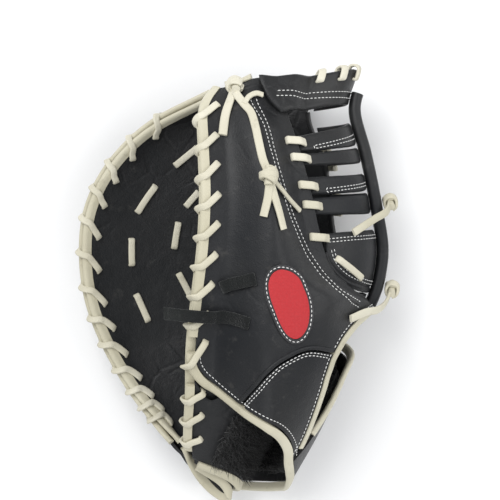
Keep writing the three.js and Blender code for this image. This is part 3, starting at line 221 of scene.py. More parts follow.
LOWER_TIE_TAIL = (
    LOWER_KNOT, (0.95, 0.474, 6), (0.88, 0.461, 4.2), (0.8, 0.455, 1.8), (0.716, 0.445, 0.6),
)
LONG_SUEDE = (
    (0.235, 0.416, 0), (0.19, 0.415, 0), (0.14, 0.413, 1), (0.095, 0.411, 3.5),
    (0.05, 0.411, 5.5), (0, 0.411, 6.2),
)
SUEDE_REACH, SUEDE_DROP = 27.0, 9.0
SHORT_SUEDE = ((0.1, 0.472, 1), (0.142, 0.481, 1), (0.183, 0.489, 1), (0.225, 0.498, 1))
# middle, half-axis across and half-axis along, in q and v
PATCH = ((0.389, 0.4659), (0.1, 0.003), (-0.072, 0.0655))
# Its rings as shares of the half-axes and of its thickness, the border's ring, and its sides.
PATCH_RINGS = ((0.02, 1), (0.25, 1), (0.5, 1), (0.7, 1), (0.865, 0.7))
PATCH_BORDER, PATCH_SIDES = 0.935, 72

# Rows of stitching on the thumb back, as q and v.
THUMB_SEAM = np.array([
    (0.262, 0.9), (0.310, 0.835), (0.319, 0.770), (0.340, 0.703), (0.385, 0.631),
    (0.460, 0.566), (0.501, 0.543), (0.560, 0.514), (0.652, 0.485), (0.771, 0.467),
])

# Stitches: height over the backs and the web, then how far their rows lie from the lines that
# they follow, and where they lie on the bars, the spine and the top bar.
BACK_STITCH, WEB_STITCH, PATCH_STITCH = 0.2, 0.15, 1.0
SEAM_ROWS, ARCH_ROWS, EDGE_ROW, FAN_ROWS, RIM_ROW = (-2.2, 2.2), (-2.6, -4.6), 3.0, (4.0, 6.4), 1.2
BAR_ROWS, BAR_ROW_START, BAR_ROW_END = (0.4, 0.22), 0.12, 0.94
SPINE_ROWS, TOP_BAR_ROWS = ((5.6, 3.6), (6.9, 1.0)), (0.918, 0.936)
PATCH_EDGE = (3.3, 1.7)
# Fur: hairs in a square metre, their width, and their lengths inside the strap and at the wrist.
FUR_DENSITY, FUR_WIDTH, STRAP_PILE, WRIST_PILE = 7e5, 0.0008, 0.006, 0.011

Array = np.ndarray
Surface = Callable[[Array, Array], Array]
Edge = Callable[[Array], Array]
# Of one sweep: its centres, two directions at each, and its outline.
Run = tuple[Array, Array, Array, Array]


class Slot(Enum):
    """Material slots; each value names its material."""

    BLACK = "black_leather"
    PALM = "palm_leather"
    BINDING = "cream_binding"
    LACE = "cream_lace"
    SUEDE = "black_suede"
    FUR = "black_fur"
    RED = "red_patch"


def catmull(rows: Array, share: Array) -> Array:
    """Values on a smooth curve through evenly spaced rows.

    Args:
        rows: One row of values for each even step.
        share: Places along the rows, from 0 to 1.

    Returns:
        The values, with one more axis than share.
    """
    last = len(rows) - 1
    at = np.clip(share, 0, 1) * last
    i = np.minimum(np.floor(at).astype(int), last - 1)
    f = (at - i)[..., None]
    wide = np.vstack([2 * rows[0] - rows[1], rows, 2 * rows[-1] - rows[-2]])
    a, b, c, d = wide[i], wide[i + 1], wide[i + 2], wide[i + 3]
    return b + 0.5 * f * (c - a + f * (2 * a - 5 * b + 4 * c - d + f * (3 * (b - c) + d - a)))


def unit(vectors: Array) -> Array:
    """Vectors of length one.

    Args:
        vectors: Any array of vectors.

    Returns:
        The same directions with length one.
    """
    return vectors / np.maximum(np.linalg.norm(vectors, axis=-1, keepdims=True), 1e-9)


def smoothstep(x: Array, low: float, high: float) -> Array:
    """Smooth step from 0 at low to 1 at high.

    Args:
        x: Values.
        low: Where the step starts.
        high: Where it ends.

    Returns:
        The steps.
    """
    t = np.clip((x - low) / (high - low), 0, 1)
    return t * t * (3 - 2 * t)


def arms(v: Array) -> tuple[Array, Array]:
    """Control points of the two curved arms of the pocket's section.

    Args:
        v: Places along the mitt.

    Returns:
        Four points of the thumb arm and four of the finger arm, at each v.
    """
    size = np.array([REACH, LENGTH, HEIGHT])
    thumb, deep, finger = (catmull(rows, v) * size for rows in (THUMB_RIM, DEEPEST, FINGER_RIM))
    shape = catmull(SHAPES, v)
    bow = shape[..., 4] * LENGTH
    to_thumb = np.linalg.norm(thumb - deep, axis=-1)
    to_finger = np.linalg.norm(finger - deep, axis=-1)

    def rim_handle(rim: Array, tilt: Array, reach: Array, share: float, lean: Array) -> Array:
        angle = np.radians(tilt)
        length = reach * share
        y = (deep[..., 1] - rim[..., 1]) * share - lean
        return rim + np.stack([length * np.cos(angle), y, -length * np.sin(angle)], -1)

    rise = np.stack([np.zeros_like(bow), bow, to_finger * FINGER_HANDLES[0]], -1)
    thumb_rise = unit(rise) * (to_thumb * THUMB_HANDLES[1])[..., None]
    thumb_arm = np.stack([
        thumb,
        rim_handle(thumb, shape[..., 0], to_thumb, THUMB_HANDLES[0], 0 * bow),
        deep + thumb_rise,
        deep,
    ], -2)
    finger_arm = np.stack([
        deep,
        deep - rise,
        rim_handle(finger, shape[..., 1], to_finger, FINGER_HANDLES[1], bow),
        finger,
    ], -2)
    return thumb_arm, finger_arm


def bezier(points: Array, t: Array) -> Array:
    """Points on cubic curves.

    Args:
        points: Four control points for each curve.
        t: One place on each curve.

    Returns:
        The points.
    """
    t = t[..., None]
    s = 1 - t
    p0, p1, p2, p3 = (points[..., k, :] for k in range(4))
    return s**3 * p0 + 3 * s * s * t * p1 + 3 * s * t * t * p2 + t**3 * p3


def lengths(points: Array) -> tuple[Array, Array]:
    """Lengths along cubic curves.

    Args:
        points: Four control points for each curve.

    Returns:
        Even parameter steps, and the length up to each of them on every curve.
    """
    steps = np.linspace(0, 1, ARC_SAMPLES + 1)
    t = np.broadcast_to(steps, points.shape[:-2] + steps.shape)
    on = bezier(points[..., None, :, :], t)
    runs = np.linalg.norm(np.diff(on, axis=-2), axis=-1)
    return steps, np.concatenate([np.zeros(runs.shape[:-1] + (1,)), np.cumsum(runs, -1)], -1)


def palm_point(q: Array, v: Array) -> Array:
    """Middle of the palm leather.

    Args:
        q: Places across, 0 at the thumb rim, 1 at the deepest line, 2 at the finger rim.
        v: Places along, 0 at the heel, 1 at the top.

    Returns:
        Points in the model's millimetres.
    """
    q, v = np.broadcast_arrays(np.asarray(q, float), np.asarray(v, float))
    thumb_arm, finger_arm = arms(v)
    on_thumb = (q <= 1)[..., None, None]
    points = np.where(on_thumb, thumb_arm, finger_arm)
    share = np.clip(np.where(q <= 1, q, q - 1), 0, 1)
    steps, run = lengths(points)
    target = share * run[..., -1]
    i = np.clip((run <= target[..., None]).sum(-1) - 1, 0, ARC_SAMPLES - 1)
    low = np.take_along_axis(run, i[..., None], -1)[..., 0]
    high = np.take_along_axis(run, i[..., None] + 1, -1)[..., 0]
    t = (i + np.clip((target - low) / np.maximum(high - low, 1e-9), 0, 1)) / ARC_SAMPLES
    return bezier(points, t)


def arm_length(on_thumb: bool, v: Array) -> Array:
    """Length of one arm of the section.

    Args:
        on_thumb: Which arm.
        v: Places along the mitt.

    Returns:
        Lengths in millimetres.
    """
    return lengths(arms(np.asarray(v, float))[0 if on_thumb else 1])[1][..., -1]


@dataclass
class Frames:
    """Points on a surface with its slopes there."""

    point: Array
    across: Array
    lengthwise: Array
    normal: Array


def frames_on(surface: Surface, q: Array, v: Array) -> Frames:
    """Points, slopes and outward normals of a surface.

    Args:
        surface: The surface.
        q: Places across.
        v: Places along.

    Returns:
        The frames.
    """
    q, v = np.broadcast_arrays(np.asarray(q, float), np.asarray(v, float))
    before, after = np.maximum(q - SLOPE_STEP, 0), np.minimum(q + SLOPE_STEP, 2)
    across = unit(surface(after, v) - surface(before, v))
    below, above = np.maximum(v - SLOPE_STEP, 0), np.minimum(v + SLOPE_STEP, 1)
    lengthwise = unit(surface(q, above) - surface(q, below))
    normal = unit(np.cross(across, lengthwise))
    return Frames(surface(q, v), across, lengthwise, normal)


def frames_of(surface: Surface, places: Array) -> Frames:
    """Frames at places.

    Args:
        surface: The surface.
        places: Places of q and v.

    Returns:
        The frames.
    """
    return frames_on(surface, places[..., 0], places[..., 1])


def frame_at(surface: Surface, q: float, v: float) -> Frames:
    """Frame at one place.

    Args:
        surface: The surface.
        q: Place across.
        v: Place along.

    Returns:
        The frame, with one vector in each field.
    """
    on = frames_of(surface, np.array([(q, v)], float))
    return Frames(on.point[0], on.across[0], on.lengthwise[0], on.normal[0])


def window(v: Array, side: int) -> Array:
    """Edge of the web's window.

    Args:
        v: Places along.
        side: 1 for the thumb side, 2 for the finger side.

    Returns:
        The q of the edge.
    """
    return np.interp(v, WINDOW[:, 0], WINDOW[:, side])


def back_lift(q: Array, v: Array) -> Array:
    """Distance from the middle of the palm leather to the middle of the back leather.

    Args:
        q: Places across.
        v: Places along.

    Returns:
        Distances in millimetres.
    """
    on_thumb = q <= 1
    thumb, finger = arm_length(True, v), arm_length(False, v)
    from_rim = np.where(on_thumb, q * thumb, (2 - q) * finger)
    from_web = np.where(on_thumb, (window(v, 1) - q) * thumb, (q - window(v, 2)) * finger)
    rise = smoothstep(from_rim, RIM_FLAT, RIM_FLAT + STALL_RISE)
    fall = smoothstep(from_web, WEB_FLAT, WEB_FLAT + STALL_RISE)
    stall = np.where(on_thumb, THUMB_ROOM, FINGER_ROOM) * fall
    shape = catmull(SHAPES, v)
    hand, deep = shape[..., 2] * HEIGHT, shape[..., 3] * HEIGHT
    on_hand = np.where(
        on_thumb,
        hand + (deep - hand) * smoothstep(q, 0.55, 1),
        deep + (HEEL_ROOM - deep) * smoothstep(q, 1.05, 1.5),
    )
    mix = smoothstep(v, HAND_END, STALL_START)
    return STACK + rise * (on_hand + (stall - on_hand) * mix)


def inside_back(depth: float, floor: float) -> Surface:
    """A surface inside the middle of the back leather.

    Args:
        depth: How far inside.
        floor: Its least height over the table.

    Returns:
        The surface.
    """

    def surface(q: Array, v: Array) -> Array:
        on = frames_on(palm_point, q, v)
        q, v = np.broadcast_arrays(np.asarray(q, float), np.asarray(v, float))
        points = on.point + on.normal * (back_lift(q, v) - depth)[..., None]
        points[..., 2] = np.maximum(points[..., 2], floor)
        return points

    return surface


back_point = inside_back(0, BACK_LEATHER / 2)


def over(surface: Surface, height: float | Callable[[Array, Array], Array]) -> Surface:
    """A surface at a height over another one.

    Args:
        surface: The lower surface.
        height: The height, or a function of q and v that gives it.

    Returns:
        The upper surface.
    """

    def upper(q: Array, v: Array) -> Array:
        on = frames_on(surface, q, v)
        lift = height(q, v)[..., None] if callable(height) else height
        return on.point + on.normal * lift

    return upper


def top_bar_height(q: Array, v: Array) -> Array:
    """Height of the top bar, which lies over the tip of the thumb.

    Args:
        q: Places across.
        v: Places along.

    Returns:
        Heights over the palm in millimetres.
    """
    past = (q - window(v, 1)) * arm_length(True, v)
    lifted = back_lift(q, v) + (BACK_LEATHER + WEB_LEATHER) / 2 + 2 * GAP
    return lifted * (1 - smoothstep(past, 4, 20))


def along(rows: Array, start: float = 0, end: float = 1) -> Edge:
    """A smooth edge through rows of q and v.

    Args:
        rows: The rows, at even steps.
        start: Share of the rows where the edge starts.
        end: Share where it ends.

    Returns:
        The edge.
    """
    return lambda t: catmull(rows, start + (end - start) * np.asarray(t, float))


def straight(start: Sequence[float], end: Sequence[float]) -> Edge:
    """A straight edge.

    Args:
        start: Its first q and v.
        end: Its last q and v.

    Returns:
        The edge.
    """
    first, last = np.array(start, float), np.array(end, float)
    return lambda t: first + (last - first) * np.asarray(t, float)[..., None]


def joined(first: Edge, second: Edge, share: float) -> Edge:
    """Two edges one after the other.

    Args:
        first: The first edge.
        second: The second edge.
        share: Share of the whole that the first one takes.

    Returns:
        The whole edge.
    """

    def edge(t: Array) -> Array:
        t = np.asarray(t, float)
        early = first(np.clip(t / share, 0, 1))
        late = second(np.clip((t - share) / (1 - share), 0, 1))
        return np.where((t < share)[..., None], early, late)

    return edge


def coons(bottom: Edge, top: Edge, across: Array, up: Array, left: Edge | None = None,
          right: Edge | None = None) -> Array:
    """Places inside four edges.

    Args:
        bottom: Lower edge, from left to right.
        top: Upper edge, from left to right.
        across: Shares across.
        up: Shares up.
        left: Left edge, from low to high, if not straight.
        right: Right edge, from low to high, if not straight.

    Returns:
        A grid of q and v.
    """
    ends = np.array([0.0, 1.0])
    low_left, low_right = bottom(ends)
    top_left, top_right = top(ends)
    left = left or straight(low_left, top_left)
    right = right or straight(low_right, top_right)
    a, b = across[None, :, None], up[:, None, None]
    sides = (1 - b) * bottom(across)[None] + b * top(across)[None]
    sides = sides + (1 - a) * left(up)[:, None] + a * right(up)[:, None]
    low = (1 - a) * low_left + a * low_right
    high = (1 - a) * top_left + a * top_right
    return sides - (1 - b) * low - b * high


def soft_steps(count: int, end: float = 0.012) -> Array:
    """Shares from 0 to 1 with two more near each end, for a rounded edge.

    Args:
        count: Even steps.
        end: The first share from the end.

    Returns:
        The shares.
    """
    even = np.linspace(0, 1, count + 1)[1:-1]
    room, second = SOFT_ROOM * end, SOFT_SECOND * end
    inner = even[(even > room) & (even < 1 - room)]
    return np.concatenate([[0, end, second], inner, [1 - second, 1 - end, 1]])


class Maker:
    """Makes meshes, and puts each in the scene under the root body in place of its CAD nodes."""

    def __init__(self, materials: dict[Slot, bpy.types.Material]) -> None:
        """Keeps the materials.

        Args:
            materials: A material for each slot.
        """
        self.materials = materials

    def piece(
        self,
        name: str,
        verts: Array,
        faces: Sequence[Sequence[int]],
        slot: Slot,
        nodes: Sequence[str] = (),
        material: bpy.types.Material | None = None,
    ) -> None:
        """Makes one closed piece.

        Args:
            name: Its name.
            verts: Its points, in the model's millimetres.
            faces: Its faces.
            slot: The slot whose material it takes, unless material is given.
            nodes: The CAD nodes that it replaces.
            material: Its material, if not the slot's own.
        """
        mesh = bpy.data.meshes.new(name)
        mesh.from_pydata(((verts + OFFSET) * MM).tolist(), [], [list(map(int, f)) for f in faces])
        work = bmesh.new()
        work.from_mesh(mesh)
        bmesh.ops.recalc_face_normals(work, faces=work.faces)
        work.to_mesh(mesh)
        work.free()
        self.declare(name, mesh, slot, nodes, material)

    def declare(
        self,
        name: str,
        mesh: bpy.types.Mesh,
        slot: Slot,
        nodes: Sequence[str] = (),
        material: bpy.types.Material | None = None,
    ) -> None:
        """Args:
            name: Its name.
            mesh: Its mesh, in metres.
            slot: The slot whose material it takes, unless material is given.
            nodes: The CAD nodes that it replaces.
            material: Its material, if not the slot's own.
        """
        mesh.shade_smooth()
        mesh.set_sharp_from_angle(angle=math.radians(SHARP_ANGLE))
        mesh.materials.clear()
        mesh.materials.append(material or self.materials[slot])
        made = bpy.data.objects.new(name, mesh)
        bpy.context.scene.collection.objects.link(made)
        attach(made, "root")
        if nodes:
            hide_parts(*nodes)
        LOG.info("%s: %d faces", name, len(mesh.polygons))

    def leather(
        self,
        name: str,
        surface: Surface,
        places: Array,
        thick: float,
        slot: Slot,
        nodes: Sequence[str] = (),
        keep: Array | None = None,
        soft: bool = True,
    ) -> None:
        """Makes a leather wall over a grid of places.

        Args:
            name: Its name.
            surface: The surface of its middle.
            places: The grid of q and v.
            thick: Its thickness in millimetres.
            slot: The slot whose material it takes.
            nodes: The CAD nodes that it replaces.
            keep: Which cells are leather.
            soft: Whether its outer edges are rounded.
        """
        rows, columns = places.shape[:2]
        on = frames_of(surface, places)
        half = np.full((rows, columns), thick / 2)
        if soft:
            for k, share in enumerate(EDGE_THICKNESS):
                for ring in (half[k, :], half[-1 - k, :], half[:, k], half[:, -1 - k]):
                    np.minimum(ring, share * thick / 2, out=ring)
        step = on.normal * half[..., None]
        verts = np.concatenate([(on.point + step).reshape(-1, 3), (on.point - step).reshape(-1, 3)])
        count = rows * columns
        if keep is None:
            keep = np.ones((rows - 1, columns - 1), bool)
        faces, edges = [], {}
        for i, j in zip(*np.nonzero(keep)):
            a = int(i * columns + j)
            ring = (a, a + 1, a + 1 + columns, a + columns)
            faces.append(ring)
            faces.append(tuple(k + count for k in reversed(ring)))
            for k in range(4):
                pair = (ring[k], ring[(k + 1) % 4])
                if not edges.pop(pair[::-1], None):
                    edges[pair] = True
        faces += [(b, a, a + count, b + count) for a, b in edges]
        used = np.unique(np.concatenate([np.array(f) for f in faces]))
        index = np.full(len(verts), -1)
        index[used] = np.arange(len(used))
        self.piece(name, verts[used], [index[list(f)] for f in faces], slot, nodes)

    def sweep(
        self,
        name: str,
        runs: Sequence[Run],
        slot: Slot,
        nodes: Sequence[str] = (),
        material: bpy.types.Material | None = None,
    ) -> None:
        """Makes one piece of closed sweeps.

        Args:
            name: Its name.
            runs: The sweeps.
            slot: The slot whose material it takes, unless material is given.
            nodes: The CAD nodes that it replaces.
            material: Its material, if not the slot's own.
        """
        verts, faces, base = [], [], 0
        for centre, wide, deep, outline in runs:
            m, n = len(centre), len(outline)
            x, y = outline[None, :, 0:1], outline[None, :, 1:2]
            verts.append((centre[:, None] + wide[:, None] * x + deep[:, None] * y).reshape(-1, 3))
            for i in range(m - 1):
                for j in range(n):
                    a, b = base + i * n + j, base + i * n + (j + 1) % n
                    faces.append((a, b, b + n, a + n))
            faces.append(tuple(base + j for j in range(n))[::-1])
            faces.append(tuple(base + (m - 1) * n + j for j in range(n)))
            base += m * n
        self.piece(name, np.concatenate(verts), faces, slot, nodes, material)


def rounded(wide: float, thick: float, corner: float = 0.42, steps: int = 3) -> Array:
    """Outline of a flat strip with rounded edges.

    Args:
        wide: Its width.
        thick: Its thickness.
        corner: Radius of its corners as a share of the thickness.
        steps: Points in each corner.

    Returns:
        The outline.
    """
    r = corner * thick
    points = []
    for k, (sx, sy) in enumerate(((1, 1), (-1, 1), (-1, -1), (1, -1))):
        for a in np.linspace(0, math.pi / 2, steps):
            angle = a + k * math.pi / 2
            middle = (sx * (wide / 2 - r), sy * (thick / 2 - r))
            points.append((middle[0] + r * math.cos(angle), middle[1] + r * math.sin(angle)))
    return np.array(points)


def roll(wide: float, thick: float) -> Array:
    """Outline of a binding rolled over an edge.

    Args:
        wide: How far it stands beyond the edge.
        thick: Its thickness.

    Returns:
        The outline.
    """
    round_part = [
        (BINDING_GAP + wide * (ROLL_NECK + (1 - ROLL_NECK) * math.cos(a)), thick / 2 * math.sin(a))
        for a in np.linspace(-math.pi / 2, math.pi / 2, 9)
    ]
    inner, half = BINDING_GAP - BINDING_LAP, ROLL_HALF * thick
    return np.array([(inner, -half), *round_part, (inner, half)])


def smooth_path(points: Array, count: int) -> Array:
    """A smooth path through points, with even steps in each stretch.

    Args:
        points: The points, or points with more values beside each.
        count: Steps in each stretch.

    Returns:
        The path.
    """
    return catmull(points, np.linspace(0, 1, (len(points) - 1) * count + 1))


def ribbon(points: Array, sides: Array, wide: float = LACE_WIDTH, thick: float = LACE_THICK,
           count: int = 4) -> Run:
    """A lace along points.

    Args:
        points: The points.
        sides: The direction of its width at each point.
        wide: Its width.
        thick: Its thickness.
        count: Steps between two points.

    Returns:
        A run for Maker.sweep.
    """
    path = smooth_path(np.hstack([points, sides]), count)
    centre, side = path[:, :3], path[:, 3:]
    forward = unit(np.gradient(centre, axis=0))
    across = unit(side - forward * (side * forward).sum(-1, keepdims=True))
    return centre, across, np.cross(forward, across), rounded(wide, thick)


def edge_run(surface: Surface, places: Array, outline: Array) -> Run:
    """A binding beyond an edge of a leather, which is on the left going along the places.

    Args:
        surface: The leather's surface.
        places: Places of q and v.
        outline: The binding's outline.

    Returns:
        A run for Maker.sweep.
    """
    on = frames_of(surface, places)
    forward = unit(np.gradient(on.point, axis=0))
    away = unit(np.cross(forward, on.normal))
    return on.point, away, np.cross(away, forward), outline


def ridge_run(surface: Surface, places: Array, outline: Array, side: int,
              shift: float = 0.0) -> Run:
    """A ridge that lies on a leather.

    Args:
        surface: Where its middle lies.
        places: Places of q and v.
        outline: The ridge's outline.
        side: 1 for the left going along the places, -1 for the right.
        shift: How far it lies off the places to that side.

    Returns:
        A run for Maker.sweep.
    """
    on = frames_of(surface, places)
    away = unit(np.cross(on.normal, unit(np.gradient(on.point, axis=0)))) * side
    return on.point + away * shift, away, on.normal, outline


class Nodes:
    """Short calls for making node trees."""

    def __init__(self, tree: bpy.types.NodeTree) -> None:
        """Keeps the tree.

        Args:
            tree: The node tree.
        """
        self.tree = tree

    def add(self, kind: str, inputs: dict | None = None, **settings) -> bpy.types.Node:
        """Adds a node.

        Args:
            kind: Its type.
            inputs: Values or output sockets for its inputs, by name or number.
            **settings: Its settings.

        Returns:
            The node.
        """
        node = self.tree.nodes.new(kind)
        for key, value in settings.items():
            setattr(node, key, value)
        for key, value in (inputs or {}).items():
            if isinstance(value, bpy.types.NodeSocket):
                self.tree.links.new(value, node.inputs[key])
            else:
                node.inputs[key].default_value = value
        return node

    def math(self, operation: str, a, b=0.0) -> bpy.types.NodeSocket:
        """Adds a sum of two values.

        Args:
            operation: What is done.
            a: First value or socket.
            b: Second value or socket.

        Returns:
            The result's socket.
        """
        return self.add("ShaderNodeMath", {0: a, 1: b}, operation=operation).outputs[0]

    def noise(self, coordinates, scale: float, detail: float = 3, rough: float = 0.55):
        """Adds a noise texture.

        Args:
            coordinates: Socket with the place.
            scale: Its scale.
            detail: Its detail.
            rough: Its roughness.

        Returns:
            Its value's socket.
        """
        inputs = {"Vector": coordinates, "Scale": scale, "Detail": detail, "Roughness": rough}
        return self.add("ShaderNodeTexNoise", inputs).outputs[0]

    def ramp(self, value, low: float, high: float, kind: str = "SMOOTHSTEP"):
        """Adds a step from 0 at low to 1 at high.

        Args:
            value: Socket with the value.
            low: Where the step starts.
            high: Where it ends.
            kind: Its interpolation.

        Returns:
            The result's socket.
        """
        inputs = {0: value, 1: low, 2: high}
        return self.add("ShaderNodeMapRange", inputs, interpolation_type=kind).outputs[0]

    def mix(self, share, first, second):
        """Mixes two colours.

        Args:
            share: Share of the second.
            first: First colour or socket.
            second: Second colour or socket.

        Returns:
            The result's socket.
        """
        inputs = {0: share, 6: first, 7: second}
        return self.add("ShaderNodeMix", inputs, data_type="RGBA").outputs[2]


def new_material(name: str) -> tuple[bpy.types.Material, Nodes]:
    """Makes an empty material.

    Args:
        name: Its name.

    Returns:
        The material, and its nodes.
    """
    material = bpy.data.materials.new(name)
    material.use_nodes = True
    material.node_tree.nodes.clear()
    return material, Nodes(material.node_tree)


# Scales of the leather's textures.
PEBBLES, PORES, CREASES, CREASED_PARTS = 1150.0, 2600.0, 62.0, 16.0
WAVES, SCUFFS, CLOUDS = 36.0, 95.0, 11.0


def grain_group() -> bpy.types.NodeTree:
    """Makes the shared group for leather: pebbled grain, creases and wear.

    Returns:
        The group.
    """
    tree = bpy.data.node_groups.new("leather_surface", "ShaderNodeTree")
    face = tree.interface
    for name, value in (("Grain", 0.6), ("Creases", 0.5), ("Wear", 0.5)):
        face.new_socket(name, in_out="INPUT", socket_type="NodeSocketFloat").default_value = value
    for name in ("Height", "Worn", "Cloud"):
        face.new_socket(name, in_out="OUTPUT", socket_type="NodeSocketFloat")
    n = Nodes(tree)
    given = n.add("NodeGroupInput").outputs
    place = n.add("ShaderNodeTexCoord").outputs["Object"]
    pebble = n.add("ShaderNodeTexVoronoi", {"Vector": place, "Scale": PEBBLES},
                   feature="SMOOTH_F1").outputs["Distance"]
    fine = n.noise(place, PORES, 2)
    crease_map = n.add("ShaderNodeTexVoronoi",
                       {"Vector": place, "Scale": CREASES, "Randomness": 1.0},
                       feature="DISTANCE_TO_EDGE").outputs["Distance"]
    crease = n.ramp(crease_map, 0.0, 0.12)
    where = n.ramp(n.noise(place, CREASED_PARTS, 2), 0.46, 0.64)
    crease = n.math("MULTIPLY", n.math("SUBTRACT", crease, 1.0), where)
    waves = n.noise(place, WAVES, 4, 0.6)
    rough = n.math("ADD", n.math("MULTIPLY", pebble, 0.35), n.math("MULTIPLY", fine, 0.25))
    height = n.math("MULTIPLY", rough, given["Grain"])
    folds = n.math("ADD", n.math("MULTIPLY", crease, 0.8), n.math("MULTIPLY", waves, 3.2))
    height = n.math("ADD", height, n.math("MULTIPLY", folds, given["Creases"]))
    scuff = n.ramp(n.noise(place, SCUFFS, 6, 0.7), 0.56, 0.74)
    worn = n.math("MULTIPLY", scuff, given["Wear"])
    out = n.add("NodeGroupOutput")
    for name, socket in (("Height", height), ("Worn", worn), ("Cloud", n.noise(place, CLOUDS, 3))):
        tree.links.new(socket, out.inputs[name])
    return tree


@dataclass
class Finish:
    """How one leather looks."""

    dark: tuple[float, float, float]
    light: tuple[float, float, float]
    worn: tuple[float, float, float]
    rough: tuple[float, float]
    grain: float
    creases: float
    wear: float
    bump: float
    sheen: float = 0.0
    coat: float = 0.0


FINISHES = {
    Slot.BLACK: Finish((0.008, 0.009, 0.011), (0.021, 0.021, 0.021), (0.055, 0.053, 0.05),
                       (0.36, 0.54), 0.7, 0.6, 0.45, 0.5, 0.0, 0.06),
    Slot.PALM: Finish((0.009, 0.01, 0.011), (0.02, 0.02, 0.021), (0.045, 0.044, 0.042),
                      (0.4, 0.6), 0.9, 0.9, 0.6, 0.6, 0.0, 0.05),
    Slot.BINDING: Finish((0.44, 0.41, 0.3), (0.6, 0.57, 0.45), (0.3, 0.27, 0.19),
                         (0.42, 0.6), 0.5, 0.35, 0.4, 0.35),
    Slot.LACE: Finish((0.5, 0.47, 0.36), (0.68, 0.65, 0.54), (0.34, 0.31, 0.23),
                      (0.45, 0.65), 0.6, 0.3, 0.4, 0.4),
    Slot.SUEDE: Finish((0.004, 0.005, 0.005), (0.012, 0.014, 0.013), (0.03, 0.032, 0.03),
                       (0.85, 1.0), 2.0, 0.4, 0.8, 0.9, 0.15),
}


def leather_material(name: str, finish: Finish, group: bpy.types.NodeTree) -> bpy.types.Material:
    """Makes a leather.

    Args:
        name: The material's name.
        finish: How it looks.
        group: The shared group.

    Returns:
        The material.
    """
    material, n = new_material(name)
    surface = n.add("ShaderNodeGroup", node_tree=group)
    for key, value in (("Grain", finish.grain), ("Creases", finish.creases), ("Wear", finish.wear)):
        surface.inputs[key].default_value = value
    dark, light, worn = ((*c, 1.0) for c in (finish.dark, finish.light, finish.worn))
    cloud = n.ramp(surface.outputs["Cloud"], 0.3, 0.7, "LINEAR")
    base = n.mix(surface.outputs["Worn"], n.mix(cloud, dark, light), worn)
    rough = n.add("ShaderNodeMapRange",
                  {0: cloud, 3: finish.rough[1], 4: finish.rough[0]}).outputs[0]
    bump = n.add("ShaderNodeBump", {"Height": surface.outputs["Height"], "Strength": finish.bump,
                                    "Distance": 0.0011}).outputs[0]
    shader = n.add("ShaderNodeBsdfPrincipled", {
        "Base Color": base, "Roughness": rough, "Normal": bump, "Coat Weight": finish.coat,
        "Coat Roughness": 0.35, "Sheen Weight": finish.sheen, "Specular IOR Level": 0.26,
    })
    n.add("ShaderNodeOutputMaterial", {"Surface": shader.outputs[0]})
    return material


@dataclass
class Cloth:
    """How a thread, a fur or a cloth looks."""

    color: tuple[float, float, float]
    rough: float
    weave: float
    spread: float


CLOTHS = {
    "black_fur": Cloth((0.009, 0.009, 0.009), 0.9, 0.0, 0.5),
    "red_cloth": Cloth((0.42, 0.006, 0.011), 0.6, 0.5, 0.12),
    "patch_border": Cloth((0.012, 0.012, 0.014), 0.6, 0.6, 0.3),
    "white_thread": Cloth((0.72, 0.72, 0.7), 0.6, 0.0, 0.12),
    "dark_thread": Cloth((0.02, 0.02, 0.02), 0.7, 0.0, 0.2),
    "white_table": Cloth((0.86, 0.86, 0.86), 0.9, 0.0, 0.0),
}


def cloth_material(name: str) -> bpy.types.Material:
    """Makes thread, fur or cloth.

    Args:
        name: Its name in CLOTHS.

    Returns:
        The material.
    """
    cloth = CLOTHS[name]
    material, n = new_material(name)
    place = n.add("ShaderNodeTexCoord").outputs["Object"]
    noise = n.noise(place, 600.0, 4)
    dark = (*(c * (1 - cloth.spread) for c in cloth.color), 1.0)
    light = (*(min(c * (1 + cloth.spread), 1.0) for c in cloth.color), 1.0)
    waves = [
        n.add("ShaderNodeTexWave", {"Vector": place, "Scale": 320.0, "Distortion": 0.6},
              bands_direction=axis).outputs["Fac"] for axis in ("X", "Y")
    ]
    woven = n.math("MULTIPLY", n.math("ADD", *waves), cloth.weave)
    height = n.math("ADD", woven, n.math("MULTIPLY", noise, 0.2))
    bump = n.add("ShaderNodeBump", {"Height": height, "Strength": 0.6, "Distance": 0.0004})
    shader = n.add("ShaderNodeBsdfPrincipled", {
        "Base Color": n.mix(noise, dark, light), "Roughness": cloth.rough,
        "Normal": bump.outputs[0], "Sheen Weight": 0.2,
    })
    n.add("ShaderNodeOutputMaterial", {"Surface": shader.outputs[0]})
    return material


def socket_id(group: bpy.types.NodeTree, name: str) -> str:
    """Identifier of a group's input.

    Args:
        group: The group.
        name: The input's name.

    Returns:
        The identifier.
    """
    return next(s.identifier for s in group.interface.items_tree if s.name == name
                and s.in_out == "INPUT")


def repeat_group(name: str, numbers: dict[str, float],
                 lay: Callable[[Nodes, bpy.types.bpy_prop_collection], dict]) -> bpy.types.NodeTree:
    """Makes a geometry group that sets one small mesh at many points.

    Args:
        name: Its name.
        numbers: Names and defaults of the numbers it takes.
        lay: Adds the nodes that give the points, the mesh, its rotation and its scale.

    Returns:
        The group.
    """
    tree = bpy.data.node_groups.new(name, "GeometryNodeTree")
    face = tree.interface
    face.new_socket("Geometry", in_out="INPUT", socket_type="NodeSocketGeometry")
    for key, value in numbers.items():
        face.new_socket(key, in_out="INPUT", socket_type="NodeSocketFloat").default_value = value
    face.new_socket("Material", in_out="INPUT", socket_type="NodeSocketMaterial")
    face.new_socket("Geometry", in_out="OUTPUT", socket_type="NodeSocketGeometry")
    n = Nodes(tree)
    given = n.add("NodeGroupInput").outputs
    laid = n.add("GeometryNodeInstanceOnPoints", lay(n, given)).outputs[0]
    real = n.add("GeometryNodeRealizeInstances", {0: laid}).outputs[0]
    done = n.add("GeometryNodeSetMaterial", {0: real, "Material": given["Material"]}).outputs[0]
    tree.links.new(done, n.add("NodeGroupOutput").inputs[0])
    return tree


